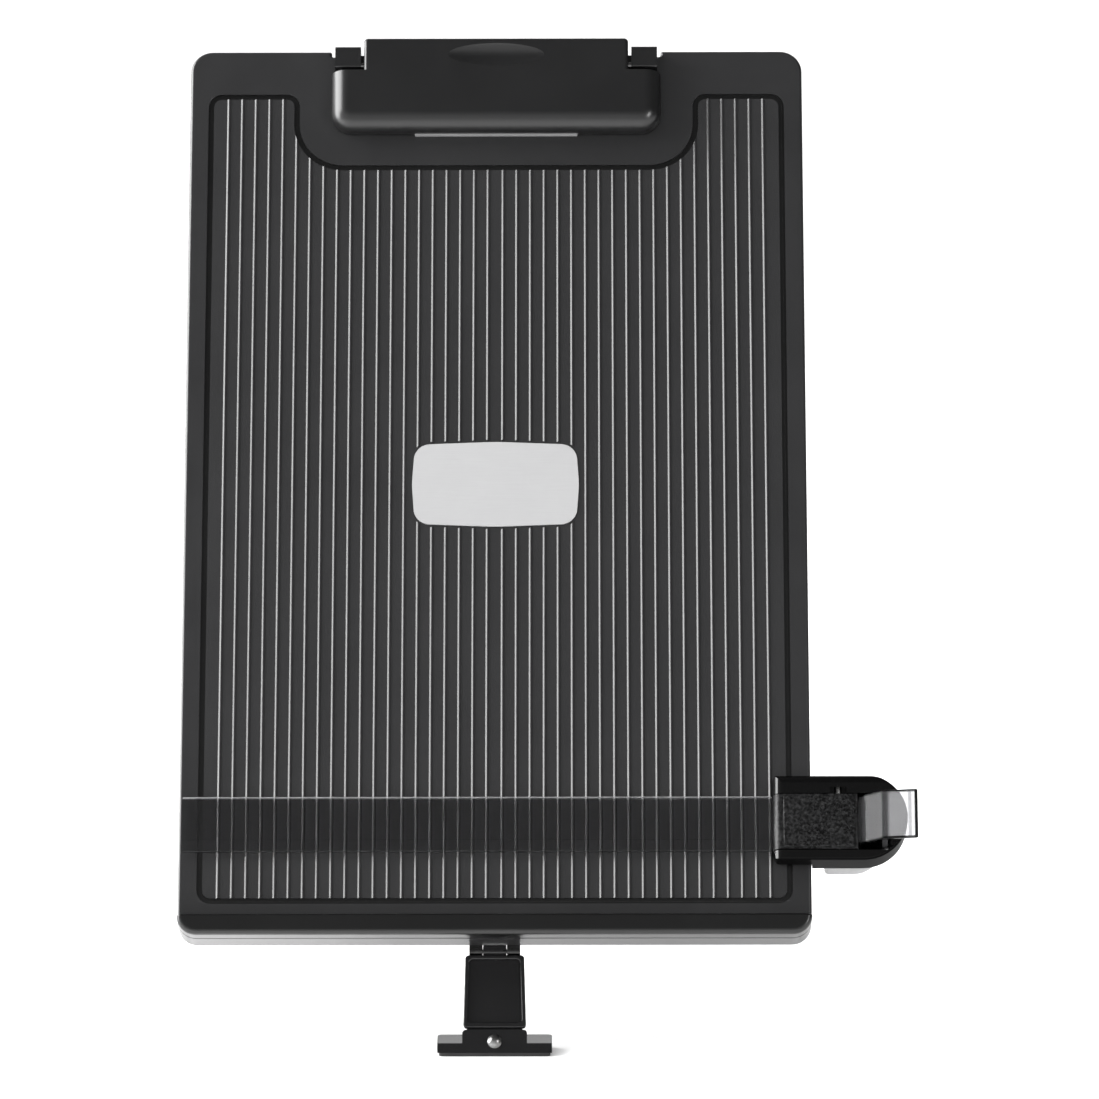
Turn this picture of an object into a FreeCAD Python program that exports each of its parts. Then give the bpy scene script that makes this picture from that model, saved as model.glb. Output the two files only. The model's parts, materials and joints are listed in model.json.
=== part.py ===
"""Copy holder with line guide: a ribbed board on a short front leg and a fold-out rear prop.

Lengths are millimetres. The desk is the plane z = 0, the front is at -y and the origin is the
middle of the front foot's sole. The board and what it carries are drawn upright first, with
x to the right, v up the board and w out of its front face, and are then leaned back together.
"""
import FreeCAD
import Part
import math
import os

from FreeCAD import Placement, Rotation, Vector

# Board
LEAN = 28.0
BOARD_HALF_WIDTH = 112.0
BOARD_HEIGHT = 336.6
BOARD_DEPTH = 10.0
BOARD_TOP_RADIUS = 8.0
BOARD_BOTTOM_RADIUS = 7.0
BOARD_EDGE_ROUND = 1.2
FACE_WALL = 2.5
SIDE_WALL = 2.2
BACK_RIB_WIDTH = 1.6
BACK_RIB_SETBACK = 1.5
BACK_COLUMNS = 3
BACK_ROWS = 5

# Ribbed panel and the channel round it
RIM_WIDTH = 6.7
PANEL_BOTTOM = 12.5
PANEL_TOP_MARGIN = 17.0
CHANNEL_WIDTH = 2.0
CHANNEL_DEPTH = 0.8
PANEL_CORNER = 5.0
LOBE_CORNER = 4.7
CLIP_BAY_HALF = 71.9
CLIP_BAY_DEPTH = 27.8
CLIP_BAY_CORNER = 16.0
RIBS_PER_SIDE = 20
RIB_PITCH = 5.0
RIB_MIDDLE_GAP = 5.45
RIB_BASE = 1.4
RIB_CREST = 0.35
RIB_HEIGHT = 0.42

# Ledge for the paper
LEDGE_HEIGHT = 7.4
LEDGE_DEPTH = 6.0
LEDGE_ROUND = 1.8
LEDGE_CREST_ROUND = 0.8
LEDGE_SCREW_X = 70.0
LEDGE_SCREW_TIP = 4.0

# Label plate
LABEL_WIDTH = 58.0
LABEL_HEIGHT = 30.0
LABEL_BULGE = 1.1
LABEL_CORNER = 6.0
LABEL_LONG_CURVE = 80.0
LABEL_SHORT_CURVE = 40.0
LABEL_RECESS = 0.4
LABEL_THICKNESS = 0.8
LABEL_MIDDLE = 168.6
LABEL_MARGIN = 0.9

# Clip
CLIP_HALF_WIDTH = 60.2
CLIP_LOWER_EDGE = 33.1
CLIP_SHOULDER = 10.6
CLIP_HEIGHT = 8.5
CLIP_WALL = 1.6
CLIP_CORNER = 7.5
CLIP_ROUND = 6.0
CLIP_CLEARANCE = 0.6
CLIP_ROOM_SIDE = 2.8
CLIP_ROOM_LOW = 4.6
CLIP_ROOM_CORNER = 3.0
TAB_HALF_WIDTH = 48.4
TAB_OVERHANG = 2.0
TAB_THICKNESS = 4.9
TAB_CORNER = 1.6
TAB_ROOT = 6.0
TAB_HOLLOW = 1.2
TAB_ROUND = 1.4
NOTCH_SIDE_GAP = 1.4
NOTCH_CORNER = 0.7
NOTCH_DEPTH = 2.0
POST_WIDTH = 9.4
POST_GAP = 1.2
POST_INSET = 1.3
POST_REACH = 2.3
POST_SLOPE = 0.9
POST_HEIGHT = 7.4
POST_KNEE = 3.6
POST_CORNER = 0.5
POST_CREST_CORNER = 1.2
POST_FOOT = 4.0
POST_TOP_MARGIN = 0.9
CLIP_BASE_THICKNESS = 1.2
CLIP_BASE_TOP_GAP = 0.2
CLIP_BASE_CORNER = 3.0
CLIP_BASE_GAP = 0.5
CLIP_PIN_DROP = 7.6
CLIP_PIN_HEIGHT = 4.2
CLIP_PIN_RADIUS = 1.2
SCOOP_HALF_WIDTH = 17.6
SCOOP_HALF_HEIGHT = 4.4
SCOOP_DEPTH = 1.3
SCOOP_DROP = 4.6
GRIP_HALF_WIDTH = 29.7
GRIP_WIDTH = 3.1
GRIP_LIP = 0.6
GRIP_CORNER = 0.4
GRIP_THICKNESS = 1.3
SPRING_WIRE = 0.7
SPRING_ARM_RADIUS = 0.3
SPRING_RADIUS = 2.05
SPRING_TURNS = 9
SPRING_X = 33.0
LEVER_POCKET_REACH = 4.4
LEVER_BEARING_HALF = 22.0
LEVER_LUG = 3.0
LEVER_BEARING_RADIUS = 2.2
LEVER_BEARING_ROOT = 1.5
CLIP_SCREW_X = 38.0
CLIP_SCREW_RISE = 9.5
CLIP_SCREW_TIP = 3.4
CLIP_BOSS_RADIUS = 3.0
CLIP_BOSS_HEIGHT = 4.4
CLIP_BASE_RISE = 6.0

# Slider and line guide
SLIDER_MIDDLE = 42.25
SLIDER_HEIGHT = 31.5
SLIDER_INNER_REACH = 13.5
SLIDER_OUTER_REACH = 34.0
SLIDER_FRONT = 7.0
SLIDER_BACK = 4.7
SLIDER_EDGE_ROUND = 0.7
SLIDER_NOSE = 3.2
SLIDER_CORNER = 2.6
SLIDER_LIFT = 0.4
SLIDE_GAP = 0.3
BAY_END_GAP = 1.2
BAY_LIP = 1.0
ROCKER_MIDDLE = 40.5
ROCKER_HEIGHT = 20.1
ROCKER_GAP = 0.35
ROCKER_LENGTH = 30.0
ROCKER_SINK = 1.2
ROCKER_PROUD = 0.2
ROCKER_NOSE = 3.0
ROCKER_HEEL_RUN = 4.0
ROCKER_HEEL_RISE = 1.6
ROCKER_CORNER = 0.8
FIELD_SETBACK = 3.6
FIELD_MARGIN = 0.8
FIELD_RISE = 0.15
ROCKER_PIN_OUT = 9.5
ROCKER_PIN_W = 3.2
ROCKER_PIN_RADIUS = 1.25
WINDOW_HALF = 2.9
WINDOW_REACH = 2.2
WINDOW_DROP = 0.6
ROCKER_SPRING_RADIUS = 1.6
ROCKER_SPRING_WIRE = 0.5
ROCKER_SPRING_REACH = 4.4
SPRING_POCKET_RADIUS = 2.4
SPRING_POCKET_FLOOR = 1.2
RAIL_BORE_DEPTH = 3.2
RAMP_LOW_REACH = 1.5
RAMP_HIGH_REACH = 6.0
BLADE_WIDTH = 19.9
BLADE_SHIFT = 0.55
BLADE_THICKNESS = 1.5
BLADE_CLEARANCE = 0.3
BLADE_TONGUE = 10.0
BLADE_END_GAP = 1.2
BLADE_CORNER = 0.8
TONGUE_MARGIN = 1.6
TONGUE_SHOULDER = 0.5
LINE_RISE = 3.4
LINE_WIDTH = 0.8
LINE_DEPTH = 0.25
FINGER_TAB_WIDTH = 17.8
FINGER_TAB_SHIFT = 0.9
FINGER_TAB_THICKNESS = 1.6
FINGER_TAB_RISE = 7.6
FINGER_TAB_REACH = 37.2
FINGER_TAB_ROOT = 4.5
FINGER_TAB_DROP = 3.2
FINGER_TAB_KNEE = 1.2
FINGER_TAB_TIP_RISE = 1.8
FINGER_TAB_OUTER_BEND = 1.6
FINGER_TAB_INNER_BEND = 1.0
FINGER_TAB_TIP_BEND = 0.7
FINGER_TAB_CORNER = 0.5
FINGER_TAB_SHOULDER = 2.0
JAW_THICKNESS = 2.6
JAW_REACH = 11.0
JAW_SETBACK = 8.0
JAW_WAIST_OUT = 4.9
JAW_WAIST_INSET = 3.2
JAW_INNER_CORNER = 2.0
JAW_OUTER_CORNER = 11.0
JAW_ROUND = 1.0
JAW_SCREW_SEAT = 1.6
JAW_SCREW_OUT = 8.0
JAW_SCREW_STEP = 14.2
JAW_SCREW_SPREAD = 8.05
JAW_SCREW_EDGE = 2.7
PAD_THICKNESS = 0.8
PAD_INNER_MARGIN = 1.5
PAD_OUTER_MARGIN = 1.0
PAD_END_MARGIN = 1.5
PAD_CORNER = 1.5

# Front leg, its hinge and its foot
LEG_TOP = 3.6
LEG_LENGTH = 26.4
LEG_TOP_HALF = 10.4
LEG_BOTTOM_HALF = 11.1
LEG_DEPTH = 3.3
LEG_CORNER = 1.3
LEG_RIM = 1.5
LEG_RIM_LOW = 1.95
LEG_RIM_ROUND = 0.5
LEG_DISH = 1.3
LEG_DISH_CORNER = 1.4
LEG_RELIEF = 1.3
LEG_WEB_ROOT = 0.8
LEG_WEB_THICKNESS = 1.75
LEG_STOP_DROP = 0.4
LEG_STOP_GAP = 1.2
TONGUE_HALF = 9.8
TONGUE_BELOW_RIVET = 2.3
TONGUE_ROOT = 1.5
HINGE_DROP = 1.9
KNUCKLE_RADIUS = 1.55
KNUCKLE_HALF = 4.15
KNUCKLE_GAP = 0.15
HINGE_HALF = 9.0
HINGE_LEAF_THICKNESS = 1.0
HINGE_LEAF_HEIGHT = 18.0
HINGE_LEAF_RISE = 1.0
HINGE_LEAF_CORNER = 1.5
HINGE_TONGUE_TOP = 3.0
HINGE_WINDOW_TOP = 2.6
HINGE_PIN_RADIUS = 0.8
HINGE_SCREW_X = 5.6
HINGE_SCREW_V = 10.8
HINGE_PAD_HALF = 13.0
HINGE_PAD_MARGIN = 4.0
LEG_FRONT_SETBACK = 0.1
NECK_GAP = 0.8
NECK_LENGTH = 10.0
NECK_HALF = 11.4
NECK_CORNER = 1.3
FOOT_WALL = 2.0
FOOT_CORNER = 2.0
FOOT_ROOM_HALF = 10.1
FOOT_ROOM_BELOW_RIVET = 4.0
FOOT_HALF_WIDTH = 20.2
FOOT_DEPTH = 15.4
FOOT_TOP = 4.5
FOOT_PAD_THICKNESS = 1.4
FOOT_PAD_SIDE_MARGIN = 0.6
FOOT_PAD_END_MARGIN = 1.2
FOOT_PAD_CORNER = 1.5
RIVET_DROP = 35.0
RIVET_RADIUS = 1.5
RIVET_HEAD_RADIUS = 2.55
RIVET_HEAD_HEIGHT = 1.3
RIVET_TAIL_RADIUS = 1.9
RIVET_TAIL_HEIGHT = 0.8

# Rear prop
PROP_PIVOT_DROP = 86.6
PROP_PIVOT_SETBACK = 6.5
PROP_FOOT_Y = 180.0
PROP_TOP_HALF = 32.0
PROP_SHOULDER = 1.2
PROP_FOOT_OUTER = 64.0
PROP_FOOT_INNER = 50.0
PROP_FORK_HALF = 15.0
PROP_FORK_DROP = 80.0
PROP_FORK_ROUND = 9.0
PROP_OVERRUN = 6.0
PROP_CORNER = 1.0
PROP_THICKNESS = 6.0
PROP_RIM = 2.4
PROP_DISH = 3.2
PROP_DISH_TOP = 3.0
PROP_DISH_LOW = 12.0
PROP_BRACE_HALF = 0.9
PROP_BRACE_DROP = 20.0
PROP_BRACES = 2
PROP_HEEL_FRONT = 1.0
PROP_BARREL_RADIUS = 4.0
PROP_HEEL = 9.0
PROP_PIN_RADIUS = 2.0
BRACKET_EAR = 4.0
BRACKET_PLATE = 2.4
BRACKET_HALF_HEIGHT = 11.0
BRACKET_FLANGE = 7.5
BRACKET_CORNER = 3.0
BRACKET_PAD_MARGIN = 1.5
BRACKET_SCREW_OUT = 3.9
BRACKET_SCREW_SPREAD = 6.0
BRACKET_EAR_WALL = 1.2
BRACKET_EAR_ROOT = 1.5
BRACKET_EAR_WAIST = 0.94
PROP_PIN_PROUD = 0.6
PROP_PAD_HEIGHT = 2.5
PROP_PAD_MARGIN = 1.5
PROP_PAD_CORNER = 2.0

# Shared fits
PIN_CLEARANCE = 0.05
PART_GAP = 0.3
SCREW_RADIUS = 1.1
SCREW_HEAD_RADIUS = 2.1
SCREW_HEAD_HEIGHT = 1.2
SCREW_HEAD_CLEARANCE = 0.2
SCREW_TIP_GAP = 0.2
SCREW_RECESS = 5.0
SHORT_SCREW = 5.5
BOSS_WALL = 1.2
BOSS_SETBACK = 3.0
ROOT = 0.5
BIG = 400.0

# Places worked out from the sizes above
LEAN_COS = math.cos(math.radians(LEAN))
LEAN_SIN = math.sin(math.radians(LEAN))
LEG_FRONT = BOARD_DEPTH - LEG_FRONT_SETBACK
NECK_TOP = LEG_TOP + LEG_LENGTH + NECK_GAP
FOOT_BOTTOM = NECK_TOP + NECK_LENGTH
BOARD_Z = FOOT_BOTTOM * LEAN_COS + LEG_FRONT * LEAN_SIN
BOARD_Y = FOOT_BOTTOM * LEAN_SIN - LEG_FRONT * LEAN_COS - FOOT_DEPTH / 2
HINGE_Y = BOARD_DEPTH + KNUCKLE_RADIUS
CLIP_PIN_V = BOARD_HEIGHT - CLIP_PIN_DROP
SLIDER_INNER_END = BOARD_HALF_WIDTH - SLIDER_INNER_REACH
SLIDER_OUTER_END = BOARD_HALF_WIDTH + SLIDER_OUTER_REACH
ROCKER_PIN_X = BOARD_HALF_WIDTH + ROCKER_PIN_OUT
FINGER_TAB_END = BOARD_HALF_WIDTH + FINGER_TAB_REACH
JAW_WAIST_END = BOARD_HALF_WIDTH + JAW_WAIST_OUT
PROP_PIVOT_V = BOARD_HEIGHT - PROP_PIVOT_DROP
PROP_PIVOT_Y = BOARD_DEPTH + PROP_PIVOT_SETBACK


def ground_point(v, w):
    """Place on the board as y and z above the desk."""
    y = BOARD_Y - w * LEAN_COS + v * LEAN_SIN
    z = BOARD_Z + w * LEAN_SIN + v * LEAN_COS
    return y, z


PROP_AXIS_Y, PROP_AXIS_Z = ground_point(PROP_PIVOT_V, -PROP_PIVOT_Y)
PROP_TILT = math.degrees(math.atan2(PROP_FOOT_Y - PROP_AXIS_Y, PROP_AXIS_Z))
PROP_OPENING = LEAN + PROP_TILT
PROP_LENGTH = math.hypot(PROP_FOOT_Y - PROP_AXIS_Y, PROP_AXIS_Z)


def lean(shape):
    """Lean a shape that was drawn upright back with the board."""
    place = Placement(Vector(0, BOARD_Y, BOARD_Z), Rotation(Vector(1, 0, 0), -LEAN))
    return shape.transformed(place.toMatrix())


def rounded_wire(corners):
    """Closed wire in the board's plane through (x, v, radius) corners, each rounded."""
    edges = []
    stops = []
    count = len(corners)
    for index in range(count):
        x, v, radius = corners[index]
        here = Vector(x, 0, v)
        before = Vector(corners[index - 1][0], 0, corners[index - 1][1]) - here
        after = Vector(corners[(index + 1) % count][0], 0, corners[(index + 1) % count][1]) - here
        before.normalize()
        after.normalize()
        if radius <= 0:
            stops.append((here, here))
            continue
        half = before.getAngle(after) / 2
        run = radius / math.tan(half)
        bisector = before + after
        bisector.normalize()
        centre = here + bisector * (radius / math.sin(half))
        start = here + before * run
        end = here + after * run
        middle = centre - bisector * radius
        edges.append((index, Part.Arc(start, middle, end).toShape()))
        stops.append((start, end))
    arcs = dict(edges)
    path = []
    for index in range(count):
        if index in arcs:
            path.append(arcs[index])
        leave = stops[index][1]
        arrive = stops[(index + 1) % count][0]
        if leave.distanceToPoint(arrive) > 1e-6:
            path.append(Part.makeLine(leave, arrive))
    return Part.Wire(path)


def slab(wire, w_low, w_high):
    """Plate with the wire's outline between two heights over the board's face."""
    face = Part.Face(wire)
    face.translate(Vector(0, -w_low, 0))
    return face.extrude(Vector(0, w_low - w_high, 0))


def block(x_low, x_high, v_low, v_high, w_low, w_high):
    """Box in the board's own directions."""
    corner = Vector(x_low, -w_high, v_low)
    return Part.makeBox(x_high - x_low, w_high - w_low, v_high - v_low, corner)


def rod_x(radius, x_low, x_high, v, w):
    """Round bar along x."""
    return Part.makeCylinder(radius, x_high - x_low, Vector(x_low, -w, v), Vector(1, 0, 0))


def rod_v(radius, v_low, v_high, x, w):
    """Round bar up the board."""
    return Part.makeCylinder(radius, v_high - v_low, Vector(x, -w, v_low), Vector(0, 0, 1))


def rod_w(radius, w_low, w_high, x, v):
    """Round bar out of the board."""
    return Part.makeCylinder(radius, w_high - w_low, Vector(x, -w_low, v), Vector(0, -1, 0))


def profile_x(corners, x_low, x_high):
    """Bar along x with a (v, w, radius) outline."""
    wire = rounded_wire([(w, v, radius) for v, w, radius in corners])
    face = Part.Face(wire)
    face.rotate(Vector(0, 0, 0), Vector(0, 0, 1), -90)
    face.translate(Vector(x_low, 0, 0))
    return face.extrude(Vector(x_high - x_low, 0, 0))


def profile_v(corners, v_low, v_high):
    """Bar up the board with an (x, w, radius) outline."""
    wire = rounded_wire([(x, w, radius) for x, w, radius in corners])
    face = Part.Face(wire)
    face.rotate(Vector(0, 0, 0), Vector(1, 0, 0), 90)
    face.translate(Vector(0, 0, v_low))
    return face.extrude(Vector(0, 0, v_high - v_low))


def fillet_where(shape, radius, test):
    """Round the edges whose middle passes the test."""
    edges = [edge for edge in shape.Edges if test(edge)]
    return shape.makeFillet(radius, edges)


def edge_middle(edge):
    """Middle point of an edge."""
    return edge.valueAt((edge.FirstParameter + edge.LastParameter) / 2)


def rectangle(x_low, x_high, v_low, v_high, radius):
    """Rounded rectangle in the board's plane."""
    return rounded_wire([
        (x_low, v_low, radius),
        (x_high, v_low, radius),
        (x_high, v_high, radius),
        (x_low, v_high, radius),
    ])


def panel_outline(inset):
    """Outline of the ribbed panel, stepped round the clip, drawn in by an inset."""
    side = BOARD_HALF_WIDTH - RIM_WIDTH - inset
    low = PANEL_BOTTOM + inset
    high = BOARD_HEIGHT - PANEL_TOP_MARGIN - inset
    bay = CLIP_BAY_HALF + inset
    bay_low = BOARD_HEIGHT - PANEL_TOP_MARGIN - CLIP_BAY_DEPTH - inset
    outer = PANEL_CORNER - inset
    lobe = LOBE_CORNER - inset
    hollow = CLIP_BAY_CORNER + inset
    return rounded_wire([
        (-side, low, outer),
        (side, low, outer),
        (side, high, outer),
        (bay, high, lobe),
        (bay, bay_low, hollow),
        (-bay, bay_low, hollow),
        (-bay, high, lobe),
        (-side, high, outer),
    ])


def board_outline(inset):
    """Outline of the board with the notch for the clip in its upper edge."""
    side = BOARD_HALF_WIDTH - inset
    low = inset
    high = BOARD_HEIGHT - inset
    notch = CLIP_HALF_WIDTH - POST_INSET + NOTCH_SIDE_GAP + inset
    notch_low = BOARD_HEIGHT - NOTCH_DEPTH - inset
    bottom = BOARD_BOTTOM_RADIUS - inset
    top = BOARD_TOP_RADIUS - inset
    return rounded_wire([
        (-side, low, bottom),
        (side, low, bottom),
        (side, high, top),
        (notch, high, NOTCH_CORNER),
        (notch, notch_low, NOTCH_CORNER),
        (-notch, notch_low, NOTCH_CORNER),
        (-notch, high, NOTCH_CORNER),
        (-side, high, top),
    ])


def label_wire(grow):
    """Four bulged sides with round corners, as on a picture tube."""
    x = LABEL_WIDTH / 2 + grow
    v = LABEL_HEIGHT / 2 + grow
    bulge = LABEL_BULGE
    radius = LABEL_CORNER + grow
    mid = LABEL_MIDDLE
    corners = [
        (-x, mid - v, radius),
        (0, mid - v - bulge, LABEL_LONG_CURVE),
        (x, mid - v, radius),
        (x + bulge, mid, LABEL_SHORT_CURVE),
        (x, mid + v, radius),
        (0, mid + v + bulge, LABEL_LONG_CURVE),
        (-x, mid + v, radius),
        (-x - bulge, mid, LABEL_SHORT_CURVE),
    ]
    return rounded_wire(corners)


def rib_positions():
    """Middle of every rib across the board."""
    first = RIB_MIDDLE_GAP / 2
    right = [first + index * RIB_PITCH for index in range(RIBS_PER_SIDE)]
    return [-x for x in reversed(right)] + right


def face_ribs():
    """Fine upright ribs, cut off at the panel's outline and round the label."""
    low = PANEL_BOTTOM
    high = BOARD_HEIGHT - PANEL_TOP_MARGIN
    section = [
        (-RIB_BASE / 2, -CHANNEL_DEPTH / 2, 0),
        (RIB_BASE / 2, -CHANNEL_DEPTH / 2, 0),
        (RIB_BASE / 2, 0, 0),
        (RIB_CREST / 2, RIB_HEIGHT, 0),
        (-RIB_CREST / 2, RIB_HEIGHT, 0),
        (-RIB_BASE / 2, 0, 0),
    ]
    one = profile_v(section, low, high)
    ribs = Part.makeCompound([one.translated(Vector(x, 0, 0)) for x in rib_positions()])
    limit = slab(panel_outline(CHANNEL_WIDTH), -CHANNEL_DEPTH, RIB_HEIGHT)
    limit = limit.cut(slab(label_wire(LABEL_MARGIN), -CHANNEL_DEPTH, RIB_HEIGHT))
    return ribs.common(limit)


def back_frame():
    """Stiffening ribs inside the open back of the board."""
    inner = BOARD_HALF_WIDTH - SIDE_WALL
    deep = -BOARD_DEPTH + BACK_RIB_SETBACK
    half = BACK_RIB_WIDTH / 2
    top = BOARD_HEIGHT - NOTCH_DEPTH - SIDE_WALL
    pieces = []
    for index in range(BACK_COLUMNS):
        x = inner * (index + 1) / (BACK_COLUMNS + 0.5)
        for side in (-1, 1):
            pieces.append(block(side * x - half, side * x + half, SIDE_WALL, top, deep, -FACE_WALL))
    for index in range(BACK_ROWS):
        v = BOARD_HEIGHT * (index + 1) / (BACK_ROWS + 1)
        pieces.append(block(-inner, inner, v - half, v + half, deep, -FACE_WALL))
    return pieces


def screw_seat(x, v, w_low, w_high):
    """Round boss with room for a screw."""
    return rod_w(SCREW_HEAD_RADIUS + BOSS_WALL, w_low, w_high, x, v)


def make_board():
    """Moulded board: face, rim, channel, ribs, open back with frame, pads and bosses."""
    body = slab(board_outline(0), -BOARD_DEPTH, 0)
    rim = BOARD_HALF_WIDTH - 0.1

    def on_front_rim(edge):
        point = edge_middle(edge)
        outside = abs(point.x) > rim or point.z < 0.1 or point.z > BOARD_HEIGHT - 0.1
        corner = abs(point.x) > rim - BOARD_TOP_RADIUS and abs(point.y) < 1e-6
        return abs(point.y) < 1e-6 and (outside or corner)

    body = fillet_where(body, BOARD_EDGE_ROUND, on_front_rim)
    body = body.cut(slab(board_outline(SIDE_WALL), -BOARD_DEPTH - 1, -FACE_WALL))
    channel = slab(panel_outline(0), -CHANNEL_DEPTH, 1)
    channel = channel.cut(slab(panel_outline(CHANNEL_WIDTH), -CHANNEL_DEPTH - 1, 2))
    body = body.cut(channel)
    pads = back_frame()
    hinge_pad_top = HINGE_LEAF_HEIGHT + HINGE_PAD_MARGIN
    inside = -FACE_WALL + ROOT
    pads.append(block(-HINGE_PAD_HALF, HINGE_PAD_HALF, ROOT, hinge_pad_top, -BOARD_DEPTH, inside))
    pad_half = bracket_half_width() + BRACKET_PAD_MARGIN
    low = PROP_PIVOT_V - BRACKET_HALF_HEIGHT - BRACKET_PAD_MARGIN
    high = PROP_PIVOT_V + BRACKET_HALF_HEIGHT + BRACKET_PAD_MARGIN
    pads.append(block(-pad_half, pad_half, low, high, -BOARD_DEPTH, inside))
    for side in (-1, 1):
        for x, v in ((side * CLIP_SCREW_X, clip_screw_v()), (side * LEDGE_SCREW_X, ledge_screw_v())):
            pads.append(screw_seat(x, v, -BOARD_DEPTH + BOSS_SETBACK, inside))
    body = body.fuse(pads)
    body = body.fuse(face_ribs()).removeSplitter()
    body = body.cut(slab(label_wire(PART_GAP / 2), -LABEL_RECESS, 1))
    holes = []
    for side in (-1, 1):
        for x, v in ((side * CLIP_SCREW_X, clip_screw_v()), (side * LEDGE_SCREW_X, ledge_screw_v())):
            holes.append(rod_w(SCREW_RADIUS, -BOARD_DEPTH, 1, x, v))
            holes.append(rod_w(SCREW_HEAD_RADIUS + SCREW_HEAD_CLEARANCE, -BOARD_DEPTH - 1,
                               -BOARD_DEPTH + SCREW_RECESS, x, v))
    tip = -BOARD_DEPTH + SHORT_SCREW + SCREW_TIP_GAP
    for x, v in leg_screw_places() + bracket_screw_places():
        holes.append(rod_w(SCREW_RADIUS, -BOARD_DEPTH - 1, tip, x, v))
    return body.cut(Part.makeCompound(holes))


def clip_screw_v():
    """Height of the clip base's screws."""
    return BOARD_HEIGHT - CLIP_LOWER_EDGE + CLIP_SCREW_RISE


def ledge_screw_v():
    """Height of the ledge's screws, clear of the board's lower wall."""
    return SIDE_WALL + SCREW_HEAD_RADIUS + PART_GAP


def leg_screw_places():
    """Screws of the small hinge leaf."""
    return [(-HINGE_SCREW_X, HINGE_SCREW_V), (HINGE_SCREW_X, HINGE_SCREW_V)]


def bracket_screw_places():
    """Screws of the prop's bracket."""
    x = bracket_half_width() - BRACKET_FLANGE + BRACKET_SCREW_OUT
    low = PROP_PIVOT_V - BRACKET_SCREW_SPREAD
    high = PROP_PIVOT_V + BRACKET_SCREW_SPREAD
    return [(-x, low), (x, low), (-x, high), (x, high)]


def bracket_half_width():
    """Half the width of the bracket's plate."""
    return PROP_TOP_HALF + PART_GAP + BRACKET_EAR + BRACKET_FLANGE


def make_ledge():
    """Lip that the paper stands on, with a rounded lower edge."""
    outline = rounded_wire([
        (-BOARD_HALF_WIDTH, 0, BOARD_BOTTOM_RADIUS),
        (BOARD_HALF_WIDTH, 0, BOARD_BOTTOM_RADIUS),
        (BOARD_HALF_WIDTH, LEDGE_HEIGHT, 0),
        (-BOARD_HALF_WIDTH, LEDGE_HEIGHT, 0),
    ])
    body = slab(outline, 0, LEDGE_DEPTH)

    def lower_front(edge):
        point = edge_middle(edge)
        return abs(point.y + LEDGE_DEPTH) < 1e-6 and point.z < LEDGE_HEIGHT - 0.1

    def upper_front(edge):
        point = edge_middle(edge)
        return abs(point.y + LEDGE_DEPTH) < 1e-6 and point.z > LEDGE_HEIGHT - 0.1

    body = fillet_where(body, LEDGE_ROUND, lower_front)
    body = fillet_where(body, LEDGE_CREST_ROUND, upper_front)
    tip = LEDGE_SCREW_TIP + SCREW_TIP_GAP
    holes = [rod_w(SCREW_RADIUS, -1, tip, side * LEDGE_SCREW_X, ledge_screw_v()) for side in (-1, 1)]
    return body.cut(Part.makeCompound(holes))


def make_label():
    """Bare label plate, sunk a little into the board."""
    return slab(label_wire(0), -LABEL_RECESS, LABEL_THICKNESS - LABEL_RECESS)


def make_clip_base():
    """Plate on the board with two posts for the clip's pin and two screw bosses."""
    outer = CLIP_HALF_WIDTH - POST_INSET
    inner = outer - POST_WIDTH
    top = BOARD_HEIGHT - NOTCH_DEPTH - CLIP_BASE_TOP_GAP
    low = BOARD_HEIGHT - CLIP_LOWER_EDGE + CLIP_BASE_RISE
    plate = slab(rectangle(-inner, inner, low, top, CLIP_BASE_CORNER), 0, CLIP_BASE_THICKNESS)
    body = [plate]
    post_top = BOARD_HEIGHT - POST_TOP_MARGIN
    post = [
        (CLIP_PIN_V - POST_REACH, 0, 0),
        (CLIP_PIN_V - POST_REACH, POST_KNEE, POST_CORNER),
        (CLIP_PIN_V - POST_REACH + POST_SLOPE, POST_HEIGHT, POST_CORNER),
        (post_top, POST_HEIGHT, POST_CREST_CORNER),
        (post_top, 0, 0),
    ]
    for side in (-1, 1):
        x_low = min(side * inner, side * outer)
        body.append(profile_x(post, x_low, x_low + POST_WIDTH))
        foot_low = CLIP_PIN_V - POST_REACH
        reach = min(side * (inner - POST_FOOT), side * outer)
        body.append(block(reach, reach + POST_WIDTH + POST_FOOT, foot_low, top, 0, CLIP_BASE_THICKNESS))
        body.append(rod_w(CLIP_BOSS_RADIUS, 0, CLIP_BOSS_HEIGHT, side * CLIP_SCREW_X, clip_screw_v()))
    solid = body[0].fuse(body[1:]).removeSplitter()
    holes = [rod_x(CLIP_PIN_RADIUS, -outer - 1, outer + 1, CLIP_PIN_V, CLIP_PIN_HEIGHT)]
    for side in (-1, 1):
        holes.append(rod_w(SCREW_RADIUS, -1, CLIP_SCREW_TIP + SCREW_TIP_GAP, side * CLIP_SCREW_X,
                           clip_screw_v()))
    return solid.cut(Part.makeCompound(holes))


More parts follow.
